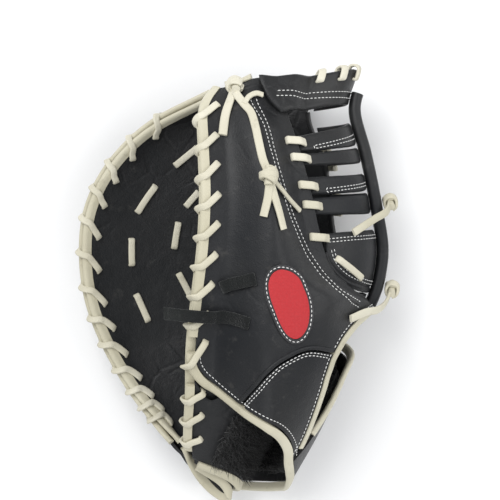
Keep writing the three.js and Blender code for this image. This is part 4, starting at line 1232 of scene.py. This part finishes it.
def lay_stitches(n: Nodes, given: bpy.types.bpy_prop_collection) -> dict:
    """Adds the nodes that lay stitches along lines.

    Args:
        n: The group's nodes.
        given: The group's inputs.

    Returns:
        What goes into the node that sets the stitches.
    """
    curve = n.add("GeometryNodeMeshToCurve", {0: given["Geometry"]}).outputs[0]
    even = n.add("GeometryNodeResampleCurve", {"Curve": curve, "Length": given["Spacing"]},
                 mode="LENGTH").outputs[0]
    turn = n.add("FunctionNodeAlignRotationToVector",
                 {"Vector": n.add("GeometryNodeInputTangent").outputs[0]}, axis="X").outputs[0]
    ball = n.add("GeometryNodeMeshUVSphere", {"Segments": 8, "Rings": 6, "Radius": 0.5}).outputs[0]
    size = n.add("ShaderNodeCombineXYZ", {0: given["Length"], 1: given["Width"],
                                          2: given["Width"]}).outputs[0]
    return {"Points": even, "Instance": ball, "Rotation": turn, "Scale": size}


def lay_fur(n: Nodes, given: bpy.types.bpy_prop_collection) -> dict:
    """Adds the nodes that grow short fur on faces.

    Args:
        n: The group's nodes.
        given: The group's inputs.

    Returns:
        What goes into the node that sets the hairs.
    """
    spread = n.add("GeometryNodeDistributePointsOnFaces",
                   {"Mesh": given["Geometry"], "Density": given["Density"], "Seed": 4})
    lean = n.add("FunctionNodeRandomValue", {0: (-0.8, -0.8, -3.1), 1: (0.8, 0.8, 3.1)},
                 data_type="FLOAT_VECTOR").outputs[0]
    turn = n.add("FunctionNodeRotateRotation", {0: spread.outputs["Rotation"], 1: lean},
                 rotation_space="LOCAL").outputs[0]
    hair = n.add("GeometryNodeMeshCone", {"Vertices": 3, "Radius Bottom": 0.5, "Depth": 1.0},
                 fill_type="NGON").outputs[0]
    size = n.add("ShaderNodeCombineXYZ", {0: given["Width"], 1: given["Width"],
                                          2: given["Length"]}).outputs[0]
    return {"Points": spread.outputs["Points"], "Instance": hair, "Rotation": turn, "Scale": size}


def grown(mesh: bpy.types.Mesh, group: bpy.types.NodeTree, values: dict) -> bpy.types.Mesh:
    """Runs a geometry group on a mesh once.

    Args:
        mesh: What it runs on.
        group: The group.
        values: The values of its inputs, by name.

    Returns:
        A plain mesh of the result.
    """
    source = bpy.data.objects.new("source", mesh)
    bpy.context.scene.collection.objects.link(source)
    modifier = source.modifiers.new("grow", "NODES")
    modifier.node_group = group
    for name, value in values.items():
        modifier[socket_id(group, name)] = value
    bpy.context.view_layer.update()
    depsgraph = bpy.context.evaluated_depsgraph_get()
    result = bpy.data.meshes.new_from_object(source.evaluated_get(depsgraph))
    bpy.data.objects.remove(source)
    return result


def line_mesh(lines: Sequence[Array]) -> bpy.types.Mesh:
    """A mesh of open lines.

    Args:
        lines: Points of each line, in the model's millimetres.

    Returns:
        The mesh, in metres.
    """
    verts, edges = [], []
    for line in lines:
        base = len(verts)
        verts += ((line + OFFSET) * MM).tolist()
        edges += [(base + i, base + i + 1) for i in range(len(line) - 1)]
    mesh = bpy.data.meshes.new("lines")
    mesh.from_pydata(verts, edges, [])
    return mesh


def web_edge(side: int, start: float = WINDOW_FLOOR, end: float = 1.0) -> Edge:
    """Edge of the leather beside the web.

    Args:
        side: 1 for the thumb side, 2 for the finger side.
        start: Lowest v.
        end: Highest v.

    Returns:
        The edge.
    """

    def edge(t: Array) -> Array:
        v = start + (end - start) * np.asarray(t, float)
        return np.stack([window(v, side), v], -1)

    return edge


def bar_edge(at_thumb: float, at_spine: float) -> Edge:
    """Edge of a bar of the web, which is level past the spine.

    Args:
        at_thumb: Its v beside the thumb.
        at_spine: Its v at the spine.

    Returns:
        The edge.
    """
    start = window(at_thumb, 1) + WELT_CLEAR / arm_length(True, at_thumb)
    end = window(at_thumb, 2) - WELT_CLEAR / arm_length(False, at_thumb)

    def edge(t: Array) -> Array:
        q = start + (end - start) * np.asarray(t, float)
        lean = np.clip((q - start) / (1 - start), 0, 1)
        return np.stack([q, at_thumb + (at_spine - at_thumb) * lean], -1)

    return edge


def spine_frames(v: Array) -> Frames:
    """Frames along the middle of the spine.

    Args:
        v: Places along.

    Returns:
        The frames.
    """
    return frames_on(over(palm_point, (WEB_LEATHER + SPINE_THICK) / 2 + GAP), np.ones_like(v), v)


def strap_places(across: Array, up: Array) -> Array:
    """Places on the wrist strap.

    Args:
        across: Shares across.
        up: Shares up.

    Returns:
        A grid of q and v.
    """
    top = along(ARCH + np.array([0.006, -0.004]), 0.18, 0.985)
    right = along(OPEN, 0, ARCH_END - ARCH_GAP)
    return coons(along(WRIST, STRAP_FROM, STRAP_TO), top, across, up, right=right)


def flap_places(across: Array, up: Array) -> Array:
    """Places on the wrist flap.

    Args:
        across: Shares across.
        up: Shares up.

    Returns:
        A grid of q and v.
    """
    return coons(along(WRIST, FLAP_FROM, 1), along(FLAP_TOP), across, up)


def build_walls(make: Maker) -> None:
    """Makes the palm and the backs of the thumb and the fingers.

    Args:
        make: Makes the pieces.
    """
    rows = np.unique(np.concatenate([np.linspace(0, 1, 121), WINDOW[2:, 0], MORE_PALM_ROWS]))
    thumb, finger = window(rows, 1), window(rows, 2)
    t1, t2, t3 = (np.linspace(0, 1, n + 1)[:, None] for n in PALM_COLUMNS)
    q = np.concatenate([t1[:-1] * thumb, thumb + t2[:-1] * (finger - thumb),
                        finger + t3 * (2 - finger)]).T
    places = np.stack([q, np.broadcast_to(rows[:, None], q.shape)], -1)
    keep = np.ones((len(rows) - 1, q.shape[1] - 1), bool)
    keep[rows[:-1] >= WINDOW_FLOOR - 1e-6, PALM_COLUMNS[0]:sum(PALM_COLUMNS[:2])] = False
    make.leather("palm_shell", palm_point, places, PALM_LEATHER, Slot.PALM, ["palm"], keep, False)

    thumb_back = coons(
        joined(along(WRIST, 0, WRIST_THUMB), along(ARCH), 0.5),
        straight((0, 1), (WINDOW[-1, 1], 1)),
        np.linspace(0, 1, 65),
        np.linspace(0, 1, 97),
        right=joined(along(OPEN, ARCH_END, 1), web_edge(1), 1 / 3),
    )
    make.leather("thumb_shell", back_point, thumb_back, BACK_LEATHER, Slot.BLACK, ["thumb_back"],
                 soft=False)
    v = np.linspace(0.02, 1, 101)
    edge = np.where(v < WINDOW_FLOOR, np.interp(v, *FINGER_OPEN.T), window(v, 2))
    share = np.linspace(0, 1, 49)[None]
    q = edge[:, None] * (1 - share) + 2 * share
    finger_back = np.stack([q, np.broadcast_to(v[:, None], q.shape)], -1)
    make.leather("finger_shell", back_point, finger_back, BACK_LEATHER, Slot.BLACK,
                 ["finger_back"], soft=False)


def build_wrist(make: Maker) -> None:
    """Makes the strap, the flap, their linings and the liner of the hand.

    Args:
        make: Makes the pieces.
    """
    strap = strap_places(np.linspace(0, 1, 33), np.linspace(0, 1, 33))
    flap = flap_places(np.linspace(0, 1, 49), np.linspace(0, 1, 25))
    for name, grid in (("strap", strap), ("flap", flap)):
        make.leather(name + "_shell", back_point, grid, BACK_LEATHER, Slot.BLACK,
                     ["wrist_" + name], soft=False)
    depth = (BACK_LEATHER + FUR_THICK) / 2 + 2 * GAP
    inside = inside_back(depth, BACK_LEATHER / 2 + depth)
    for name, grid in (("strap", strap), ("flap", flap)):
        make.leather(name + "_lining", inside, grid[2:-2, 2:-2], FUR_THICK, Slot.FUR,
                     [name + "_fur"])
    heel = straight((0, HEEL_INSET), (1.4, HEEL_INSET))
    liner = coons(heel, along(LINER_TOP), soft_steps(60), soft_steps(40))
    make.leather("liner_shell", over(palm_point, STACK), liner, LINER_LEATHER, Slot.PALM,
                 ["hand_liner"])


def build_web(make: Maker) -> None:
    """Makes the bars, the fan, the top bar and the spine of the web.

    Args:
        make: Makes the pieces.
    """
    for name, thumb_low, thumb_high, spine_low, spine_high in WEB_BARS:
        grid = coons(bar_edge(thumb_low, spine_low), bar_edge(thumb_high, spine_high),
                     soft_steps(44), soft_steps(10, 0.06))
        make.leather(name + "_shell", palm_point, grid, WEB_LEATHER, Slot.BLACK, [name])
    fan = coons(along(FAN_FLOOR), along(FAN_TOP), soft_steps(48), soft_steps(24, 0.03))
    make.leather("fan_shell", palm_point, fan, WEB_LEATHER, Slot.BLACK, ["web_fan"])
    top = straight(TOP_BAR_LEFT[-1], (TOP_BAR_FLOOR[-1, 0], 1))
    bar = coons(along(TOP_BAR_FLOOR), top, soft_steps(64), soft_steps(20, 0.03),
                left=along(TOP_BAR_LEFT))
    make.leather("top_bar_shell", over(palm_point, top_bar_height), bar, WEB_LEATHER, Slot.BLACK,
                 ["web_top_bar"])
    on = spine_frames(np.linspace(SPINE_FROM, SPINE_TO, 90))
    angles = np.linspace(0, 2 * math.pi, 20, endpoint=False)
    outline = np.stack([np.cos(angles), np.sin(angles)], -1)
    outline = np.sign(outline) * np.abs(outline) ** SPINE_ROUND
    outline = outline * (SPINE_WIDTH / 2, SPINE_THICK / 2)
    make.sweep("spine_roll", [(on.point, on.across, on.normal, outline)], Slot.BLACK, ["web_spine"])


def build_bindings(make: Maker) -> None:
    """Makes the bindings, the ridges and the welts.

    Args:
        make: Makes the pieces.
    """
    t, fine = np.linspace(0, 1, 60), np.linspace(0, 1, 120)
    bound = inside_back(0, BINDING_THICK / 2 + 0.05)
    liner = over(palm_point, STACK)
    outward = np.array([0, 0.004])
    bindings = (
        ("palm_thumb_binding", palm_point, np.linspace((0, 1), (0, 0.04), 110)),
        ("palm_finger_binding", palm_point, np.linspace((2, 0.006), (2, 1), 110)),
        ("thumb_back_binding", bound, np.linspace((0, 1), (0, 0.36), 110)),
        ("finger_back_binding", bound, np.linspace((2, 0.02), (2, 1), 110)),
        ("liner_thumb_binding", liner, np.linspace((0, 0.24), (0, 0.06), 40)),
        ("palm_heel_binding", palm_point, np.linspace((0.09, 0), (1.96, 0), 70)),
        ("liner_heel_binding", liner, np.linspace((0.12, HEEL_INSET), (1.4, HEEL_INSET), 60)),
        ("wrist_binding", bound, along(WRIST)(np.linspace(0, 1, 150)) - outward),
        ("open_back_binding", bound, along(OPEN)(np.linspace(0.06, 0.97, 90))),
        ("flap_binding", bound, along(FLAP_TOP, 0.96, 0.1)(t) + outward),
        ("top_edge_binding", bound, np.linspace((0.2, 1), (0.035, 1), 20)),
    )
    outline = roll(*BINDING_ROLL)
    for name, surface, places in bindings:
        make.sweep(name + "_roll", [edge_run(surface, places, outline)], Slot.BINDING, [name])
    # name, surface, places, width, thickness, corner steps, side and shift
    ridges = (
        ("arch_ridge", over(back_point, 0.9), along(ARCH, 0.03, 0.98)(t), 3.4, 2.6, 5, 1, 1.2),
        ("thumb_seam_ridge", over(back_point, 1.0), along(THUMB_SEAM)(fine), 2.2, 1.6, 4, 1, 0),
        ("fan_piping", palm_point, along(FAN_FLOOR, 0.02, 0.98)(t), 5.5, 5.5, 5, -1, 0.6),
    )
    for name, surface, places, wide, thick, steps, side, shift in ridges:
        run = ridge_run(surface, places, rounded(wide, thick, 0.5, steps), side, shift)
        make.sweep(name, [run], Slot.BLACK)
    welt = roll(WELT_WIDTH, STACK + BACK_LEATHER)
    middle = over(palm_point, STACK / 2)
    for name, side, step in (("thumb_web_welt", 1, 1), ("finger_web_welt", 2, -1)):
        run = edge_run(middle, web_edge(side, 0.495, 0.9)(t)[::step], welt)
        make.sweep(name + "_roll", [run], Slot.BLACK, [name])


def placed(q: float, v: float, level: float, away: float = 0.0) -> tuple[Array, Array]:
    """A point over the palm, and the direction along the mitt there.

    Args:
        q: Place across.
        v: Place along.
        level: Height over the palm's middle.
        away: Distance past the rim.

    Returns:
        The point and the direction.
    """
    on = frame_at(palm_point, q, v)
    past = np.cross(on.lengthwise, on.normal) * (away if q >= 1 else -away)
    return on.point + on.normal * level + past, on.lengthwise


def rim_lace(rim: float, holes: Sequence[float], outer_first: bool) -> list[Run]:
    """Runs of the lace wound round a rim.

    Args:
        rim: The rim's q.
        holes: Places of its holes.
        outer_first: Whether each wrap starts on the outside.

    Returns:
        A run for each wrap.
    """
    runs = []
    middle = STACK / 2
    half = middle + BINDING_THICK / 2 + 0.1 + LACE_THICK / 2
    reach = BINDING_WIDTH + BINDING_GAP + LACE_THICK / 2 - 0.4 - WRAP_NEAR
    levels, sign = ((OUTER, INNER), 1) if outer_first else ((INNER, OUTER), -1)
    for start, end in zip(holes[:-1], holes[1:]):
        turn = start + (end - start) * WRAP_SLANT
        first, last = (abs(rim - HOLE_INSET / arm_length(rim < 1, v)) for v in (start, end))
        low, high = start + (turn - start) * WRAP_RISE, turn + (end - turn) * WRAP_FALL
        sunk = sign * (half - WRAP_SINK)
        steps = [placed(first, start, middle), placed(first, start, levels[0]),
                 placed(rim, low, middle + sunk, -WRAP_SINK)]
        for share, angle in zip(np.linspace(*WRAP_SHARES, 5), np.linspace(*WRAP_ANGLES, 5)):
            angle = math.radians(angle)
            steps.append(placed(rim, start + (turn - start) * share,
                                middle + sign * half * math.sin(angle),
                                WRAP_NEAR + reach * math.cos(angle)))
        steps += [placed(rim, high, middle - sunk, -WRAP_SINK), placed(last, end, levels[1]),
                  placed(last, end, middle)]
        points, sides = (np.array(x) for x in zip(*steps))
        outward = frame_at(palm_point, rim, turn).normal
        flat = unit(np.cross(outward, unit(points[3] - points[1])))
        sides = flat * np.sign((sides * flat).sum(-1, keepdims=True))
        runs.append(ribbon(points, sides, WRAP_WIDTH, count=3))
    return runs


def stapled(ends: Sequence[float], level: float, into: float) -> Run:
    """A short lace with both ends through the leather.

    Args:
        ends: q and v of both ends.
        level: Height of the part that shows.
        into: Height of its hidden ends.

    Returns:
        A run for Maker.sweep.
    """
    q0, v0, q1, v1 = ends
    shares = (0, 0.03, 0.25, 0.5, 0.75, 0.97, 1)
    heights = (into, level, level, level, level, level, into)
    points = np.array([
        placed(q0 + (q1 - q0) * t, v0 + (v1 - v0) * t, h)[0] for t, h in zip(shares, heights)
    ])
    normal = frame_at(palm_point, (q0 + q1) / 2, (v0 + v1) / 2).normal
    side = unit(np.cross(normal, points[-1] - points[0]))
    return ribbon(points, np.tile(side, (len(points), 1)), WRAP_WIDTH)


def draped(surface: Surface, rows: Sequence[Sequence[float]], clear: float,
           thick: float = LACE_THICK) -> tuple[Array, Array]:
    """Path of a loose lace over a leather.

    Args:
        surface: The leather's surface.
        rows: q, v and height at each point.
        clear: Half the leather's thickness.
        thick: The lace's thickness.

    Returns:
        Its points and the direction of its width at each.
    """
    table = np.array(rows, float)
    on = frames_of(surface, table)
    points = on.point + on.normal * (clear + LOOSE_CLEAR + thick / 2 + table[:, 2:])
    return points, unit(np.cross(on.normal, np.gradient(points, axis=0)))


def knot_runs(surface: Surface, at: Sequence[float], toward: Sequence[float],
              clear: float) -> list[Run]:
    """Turns of a knot.

    Args:
        surface: The leather's surface.
        at: q, v and height of its middle.
        toward: A point of the lace that leaves it.
        clear: Half the leather's thickness.

    Returns:
        Runs for Maker.sweep.
    """
    on = frame_at(surface, *at[:2])
    normal = on.normal
    centre = on.point + normal * (clear + LOOSE_CLEAR + LACE_THICK / 2 + at[2])
    axis = frame_at(surface, *toward[:2]).point - centre
    axis = unit(axis - normal * axis.dot(normal))
    side = np.cross(normal, axis)
    runs = []
    for lean, shift, size, turn in KNOT_TURNS:
        tilted = unit(axis + side * lean)
        flat = np.cross(normal, tilted)
        angles = np.linspace(KNOT_START, KNOT_START + turn * math.pi, 15)
        radius = KNOT_RADIUS * size
        points = (centre + axis * shift + flat * (radius * KNOT_WIDE * np.cos(angles))[:, None]
                  + normal * (radius * KNOT_TALL * np.sin(angles))[:, None])
        sides = np.tile(tilted, (len(points), 1))
        runs.append(ribbon(points, sides, LACE_WIDTH * KNOT_LACE, count=2))
    core = centre + axis * (np.linspace(-CORE_REACH, CORE_REACH, 7) * KNOT_RADIUS)[:, None]
    sides = np.tile(side, (len(core), 1))
    runs.append(ribbon(core, sides, LACE_WIDTH, CORE_THICK * LACE_THICK, 2))
    return runs


def build_laces(make: Maker) -> None:
    """Makes the laces through holes.

    Args:
        make: Makes the pieces.
    """
    make.sweep("thumb_rim_wraps", rim_lace(0, THUMB_HOLES, True), Slot.LACE, ["thumb_rim_lace"])
    make.sweep("finger_rim_wraps", rim_lace(2, FINGER_HOLES, False), Slot.LACE,
               ["finger_rim_lace"])
    # how far past the window's edge, and how high
    steps = ((-WEB_INSET, 0), (-WEB_INSET, OUTER), (-WEB_INSET / 2, OUTER + 0.6),
             (WELT_WIDTH + 1, OUTER), (WELT_CLEAR + 3, (OUTER + BAR_LEVEL) / 2),
             (WELT_CLEAR + WEB_INSET, BAR_LEVEL), (WELT_CLEAR + WEB_INSET, 0))
    for name, side in (("thumb_web_lace", 1), ("finger_web_lace", 2)):
        runs = []
        for v in WEB_HOLES:
            length, sign = arm_length(side == 1, v), 1 if side == 1 else -1
            edge = float(window(v, side))
            found = [placed(edge + sign * past / length, v, level) for past, level in steps]
            runs.append(ribbon(*(np.array(x) for x in zip(*found))))
        make.sweep(name + "_bits", runs, Slot.LACE, [name])
    bar = over(palm_point, top_bar_height)
    for k, q in enumerate(TOP_LOOPS):
        low, top = frame_at(bar, q, 0.975), frame_at(bar, q, 1.0)
        # frame, height and distance along
        steps = ((low, -5, 0), (low, 0, 0), (low, BAR_LEVEL, 0), (low, BAR_LEVEL + 0.5, 3),
                 (top, BAR_LEVEL, 1.5), (top, 0, 3.2), (top, -BAR_LEVEL, 1.5),
                 (low, -BAR_LEVEL - 0.5, 3))
        points = np.array([f.point + f.normal * h + f.lengthwise * w for f, h, w in steps])
        run = ribbon(points, np.tile(low.across, (len(points), 1)))
        make.sweep(f"top_loop_{k + 1}_band", [run], Slot.LACE, [f"top_loop_{k + 1}"])
    for k, ends in enumerate(POCKET_LACES):
        make.sweep(f"pocket_lace_{k + 1}_band", [stapled(ends, INNER, 2)], Slot.LACE,
                   [f"pocket_lace_{k + 1}"])
    make.sweep("fan_lace_band", [stapled(FAN_STUB, BAR_LEVEL, -2)], Slot.LACE, ["fan_lace"])


def build_ties(make: Maker) -> None:
    """Makes the ties with their knots and ends.

    Args:
        make: Makes the pieces.
    """
    on_back, on_web = BACK_LEATHER / 2, WEB_LEATHER / 2
    thumb = [
        ribbon(*draped(back_point, rows, on_back), wide=LACE_WIDTH * share, count=6)
        for rows, share in ((THUMB_TIE, 1), (THUMB_TIE_END, 0.95), (THUMB_TIE_LOOP, 0.6),
                            (THUMB_TIE_CURL, 0.7), (THUMB_TIE_TAIL, 1.1))
    ]
    thumb += knot_runs(back_point, THUMB_KNOT, THUMB_TIE[2], on_back)
    thumb += knot_runs(back_point, PAST_KNOT, THUMB_TIE[-1], on_back)
    make.sweep("thumb_tie_lace", thumb, Slot.LACE, ["thumb_tie"])
    ties = (
        ("upper_tie", palm_point, UPPER_TIE_TAIL, UPPER_KNOT, UPPER_TIE_TAIL[1], on_web),
        ("lower_tie", back_point, LOWER_TIE_TAIL, LOWER_KNOT, LOWER_TIE_TAIL[2], on_back),
    )
    for name, surface, tail, knot, toward, clear in ties:
        runs = [ribbon(*draped(surface, tail, clear), count=6)]
        runs += knot_runs(surface, knot, toward, clear)
        make.sweep(name + "_lace", runs, Slot.LACE, [name])


def build_suede(make: Maker) -> None:
    """Makes the two suede strips.

    Args:
        make: Makes the pieces.
    """
    points, sides = draped(back_point, LONG_SUEDE, BACK_LEATHER / 2, SUEDE_THICK)
    outward = frame_at(back_point, 0, LONG_SUEDE[-1][1]).across
    tips = np.array([
        points[-1] - outward * SUEDE_REACH * t + np.array([0, 0, -SUEDE_DROP * t * t])
        for t in (0.4, 0.75, 1)
    ])
    dip = points[0] - frame_at(back_point, *LONG_SUEDE[0][:2]).normal * 3.5
    sides = np.vstack([sides[:1], sides, np.tile(sides[-1], (len(tips), 1))])
    run = ribbon(np.vstack([dip, points, tips]), sides, SUEDE_WIDTH, SUEDE_THICK, 6)
    make.sweep("long_suede", [run], Slot.SUEDE, ["long_suede_strip"])
    points, sides = draped(back_point, SHORT_SUEDE, BACK_LEATHER / 2, SUEDE_THICK)
    low, high = (frame_at(back_point, *SHORT_SUEDE[k][:2]).normal * 4 for k in (0, -1))
    points = np.vstack([points[0] - low, points, points[-1] - high])
    sides = np.vstack([sides[:1], sides, sides[-1:]])
    run = ribbon(points, sides, SUEDE_WIDTH, SUEDE_THICK, 5)
    make.sweep("short_suede", [run], Slot.SUEDE, ["short_suede_strip"])


def patch_places(radius: Array, angle: Array) -> Array:
    """Places on the oval patch.

    Args:
        radius: Shares of its half-axes.
        angle: Angles round it.

    Returns:
        Places of q and v.
    """
    middle, across, up = (np.array(x) for x in PATCH)
    x, y = radius * np.cos(angle), radius * np.sin(angle)
    return middle + x[..., None] * across + y[..., None] * up


def build_patch(make: Maker, border: bpy.types.Material) -> Array:
    """Makes the oval patch with its dark border.

    Args:
        make: Makes the pieces.
        border: Material of the border.

    Returns:
        The line of its stitches.
    """
    surface = over(back_point, (BACK_LEATHER + PATCH_THICK) / 2 + GAP)
    angles = np.linspace(0, 2 * math.pi, PATCH_SIDES + 1)
    radii, thick = np.array(PATCH_RINGS).T
    on = frames_of(surface, patch_places(radii[:, None], angles[None, :-1]))
    half = on.normal * (PATCH_THICK / 2 * thick)[:, None, None]
    verts = np.concatenate([(on.point + half).reshape(-1, 3), (on.point - half).reshape(-1, 3)])
    count, total = PATCH_SIDES, len(radii) * PATCH_SIDES
    faces = []
    for i in range(len(radii) - 1):
        for j in range(count):
            k = (j + 1) % count
            a, b, c, d = i * count + j, i * count + k, (i + 1) * count + k, (i + 1) * count + j
            faces += [(a, d, c, b), (a + total, b + total, c + total, d + total)]
    last = total - count
    for j in range(count):
        k = (j + 1) % count
        faces.append((last + j, last + j + total, last + k + total, last + k))
    faces.append(tuple(range(count)))
    faces.append(tuple(range(total, total + count))[::-1])
    make.piece("oval_patch_cloth", verts, faces, Slot.RED, ["oval_patch"])
    edge = patch_places(np.array(PATCH_BORDER), angles)
    run = ridge_run(surface, edge, rounded(*PATCH_EDGE, 0.5, 4), -1)
    make.sweep("oval_patch_border", [run], Slot.BLACK, material=border)
    return run[0] + run[2] * PATCH_STITCH


def stitch_lines() -> list[Array]:
    """Lines of the stitching on the leathers.

    Returns:
        Points of each line, in the model's millimetres.
    """
    t = np.linspace(0, 1, 80)
    top = BACK_LEATHER / 2 + BACK_STITCH
    web = WEB_LEATHER / 2 + WEB_STITCH
    lines = []

    def lay(surface: Surface, places: Array, height: float, shift: float = 0.0) -> None:
        on = frames_of(surface, places)
        forward = unit(np.gradient(on.point, axis=0))
        lines.append(on.point + on.normal * height + np.cross(on.normal, forward) * shift)

    for shift in SEAM_ROWS:
        lay(back_point, along(THUMB_SEAM)(t), top, shift)
    arch = along(ARCH, 0.06, 0.95)(t)
    for shift in ARCH_ROWS:
        lay(back_point, arch, top, shift)
    for edge in (along(WRIST, 0.02, STRAP_TO), along(OPEN, 0, 0.62), along(OPEN, 0.68, 0.97)):
        lay(back_point, edge(t), top, EDGE_ROW)
    for name, thumb_low, thumb_high, spine_low, spine_high in WEB_BARS:
        if "bar" not in name:
            continue
        rows = []
        for share in BAR_ROWS:
            low = thumb_low + (thumb_high - thumb_low) * share
            high = spine_low + (spine_high - spine_low) * share
            start = float(window(low, 1)) + BAR_ROW_START
            rows.append(np.linspace((start, low), (BAR_ROW_END, high), 60))
        lay(palm_point, np.concatenate([rows[0][::-1], rows[1]]), web)
    on = spine_frames(np.linspace(0.6, 0.9, 80))
    for side, height in SPINE_ROWS:
        lines.append(on.point + on.across * side + on.normal * height)
    for shift in FAN_ROWS:
        lay(palm_point, along(FAN_FLOOR, 0.03, 0.62)(t), web, shift)
        lay(palm_point, along(FAN_TOP, 0.04, 0.6)(t), web, -shift)
    bar = over(palm_point, top_bar_height)
    for v in TOP_BAR_ROWS:
        lay(bar, np.linspace((0.4, v), (1.15, v), 80), web)
    return lines


def build_stitches(make: Maker, patch_line: Array) -> None:
    """Makes the stitching.

    Args:
        make: Makes the pieces.
        patch_line: The line of the patch's stitches.
    """
    sizes = {"Spacing": 0.0031, "Length": 0.0022, "Width": 0.00065}
    group = repeat_group("stitches", sizes, lay_stitches)
    thread = cloth_material("white_thread")
    for name, lines in (("white_stitching", stitch_lines()), ("patch_stitching", [patch_line])):
        mesh = grown(line_mesh(lines), group, {"Material": thread})
        make.declare(name, mesh, Slot.LACE, material=thread)
    dark = cloth_material("dark_thread")
    rims = []
    for q, start, end in ((0, 0.98, 0.36), (2, 0.06, 0.98)):
        places = np.linspace((q, start), (q, end), 160)
        point, away, up, _ = edge_run(inside_back(0, BINDING_THICK / 2), places, places)
        rims.append(point + away * RIM_ROW + up * -BINDING_THICK / 2)
    mesh = grown(line_mesh(rims), group, {"Material": dark, "Spacing": 0.0042, "Length": 0.002})
    make.declare("rim_stitching", mesh, Slot.BLACK, material=dark)


def face_mesh(surface: Surface, places: Array, inward: bool) -> bpy.types.Mesh:
    """One side of a surface, for fur to grow on.

    Args:
        surface: The surface.
        places: A grid of q and v.
        inward: Whether its faces look to the palm.

    Returns:
        The mesh, in metres.
    """
    rows, columns = places.shape[:2]
    points = (surface(places[..., 0], places[..., 1]).reshape(-1, 3) + OFFSET) * MM
    faces = []
    for i in range(rows - 1):
        for j in range(columns - 1):
            a = i * columns + j
            ring = (a, a + 1, a + 1 + columns, a + columns)
            faces.append(ring[::-1] if inward else ring)
    mesh = bpy.data.meshes.new("fur_face")
    mesh.from_pydata(points.tolist(), [], faces)
    return mesh


def build_fur(make: Maker) -> None:
    """Grows short fur inside the strap and the flap, and on the liner at the wrist.

    Args:
        make: Makes the pieces.
    """
    group = repeat_group("fur", {"Density": 5e5, "Length": 0.005, "Width": 0.0005}, lay_fur)
    t = np.linspace(0, 1, 33)
    depth = BACK_LEATHER / 2 + FUR_THICK + 2 * GAP
    inside = inside_back(depth, BACK_LEATHER + depth)
    wrist = coons(straight((0.3, 0.045), (1.3, 0.045)), straight((0.45, 0.24), (1.3, 0.27)), t, t)
    table = (
        ("strap_pile", inside, strap_places(t, t)[2:-2, 2:-2], True, STRAP_PILE),
        ("flap_pile", inside, flap_places(t, t)[2:-2, 2:-2], True, STRAP_PILE),
        ("wrist_pile", over(palm_point, STACK + LINER_LEATHER / 2), wrist, False, WRIST_PILE),
    )
    for name, surface, places, inward, length in table:
        mesh = face_mesh(surface, places, inward)
        values = {"Density": FUR_DENSITY, "Length": length, "Width": FUR_WIDTH,
                  "Material": make.materials[Slot.FUR]}
        make.declare(name, grown(mesh, group, values), Slot.FUR)


def set_stage() -> None:
    """Places the camera, the lights and the table."""
    scene = bpy.context.scene
    camera = bpy.data.objects.new("camera", bpy.data.cameras.new("camera"))
    camera.location = (np.array(CAMERA_PLACE) + OFFSET) * MM
    camera.data.angle = 2 * math.atan(HALF_PICTURE / METRE)
    camera.data.clip_start = CLIP_START
    scene.collection.objects.link(camera)
    scene.camera = camera
    scene.view_settings.view_transform = "Standard"
    for k, (place, size, power) in enumerate(LIGHTS):
        light = bpy.data.lights.new(f"softbox_{k + 1}", "AREA")
        light.size, light.energy = size, power
        holder = bpy.data.objects.new(light.name, light)
        holder.location = place
        target = np.array(LIGHT_AIM) - np.array(place)
        yaw = math.atan2(target[1], target[0])
        pitch = math.acos(-target[2] / np.linalg.norm(target))
        holder.rotation_euler = (pitch, 0, yaw - math.pi / 2)
        scene.collection.objects.link(holder)
    world = bpy.data.worlds.new("white room")
    world.use_nodes = True
    background = world.node_tree.nodes["Background"].inputs
    background[0].default_value, background[1].default_value = ROOM_COLOR, ROOM_STRENGTH
    scene.world = world
    mesh = bpy.data.meshes.new("table")
    signs = ((-1, -1), (1, -1), (1, 1), (-1, 1))
    mesh.from_pydata([(x * TABLE_HALF, y * TABLE_HALF, 0) for x, y in signs], [], [(0, 1, 2, 3)])
    mesh.materials.append(cloth_material("white_table"))
    table = bpy.data.objects.new("table", mesh)
    table.location.z = -TABLE_DROP
    scene.collection.objects.link(table)


def main() -> None:
    """Builds the looks of the mitt."""
    logging.basicConfig(level=logging.INFO)
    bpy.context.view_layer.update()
    group = grain_group()
    materials = {slot: leather_material(slot.value, finish, group)
                 for slot, finish in FINISHES.items()}
    materials[Slot.FUR] = cloth_material("black_fur")
    materials[Slot.RED] = cloth_material("red_cloth")
    make = Maker(materials)
    set_stage()
    build_walls(make)
    build_wrist(make)
    build_web(make)
    build_bindings(make)
    build_laces(make)
    build_ties(make)
    build_suede(make)
    build_stitches(make, build_patch(make, cloth_material("patch_border")))
    build_fur(make)


if __name__ == "__main__":
    main()
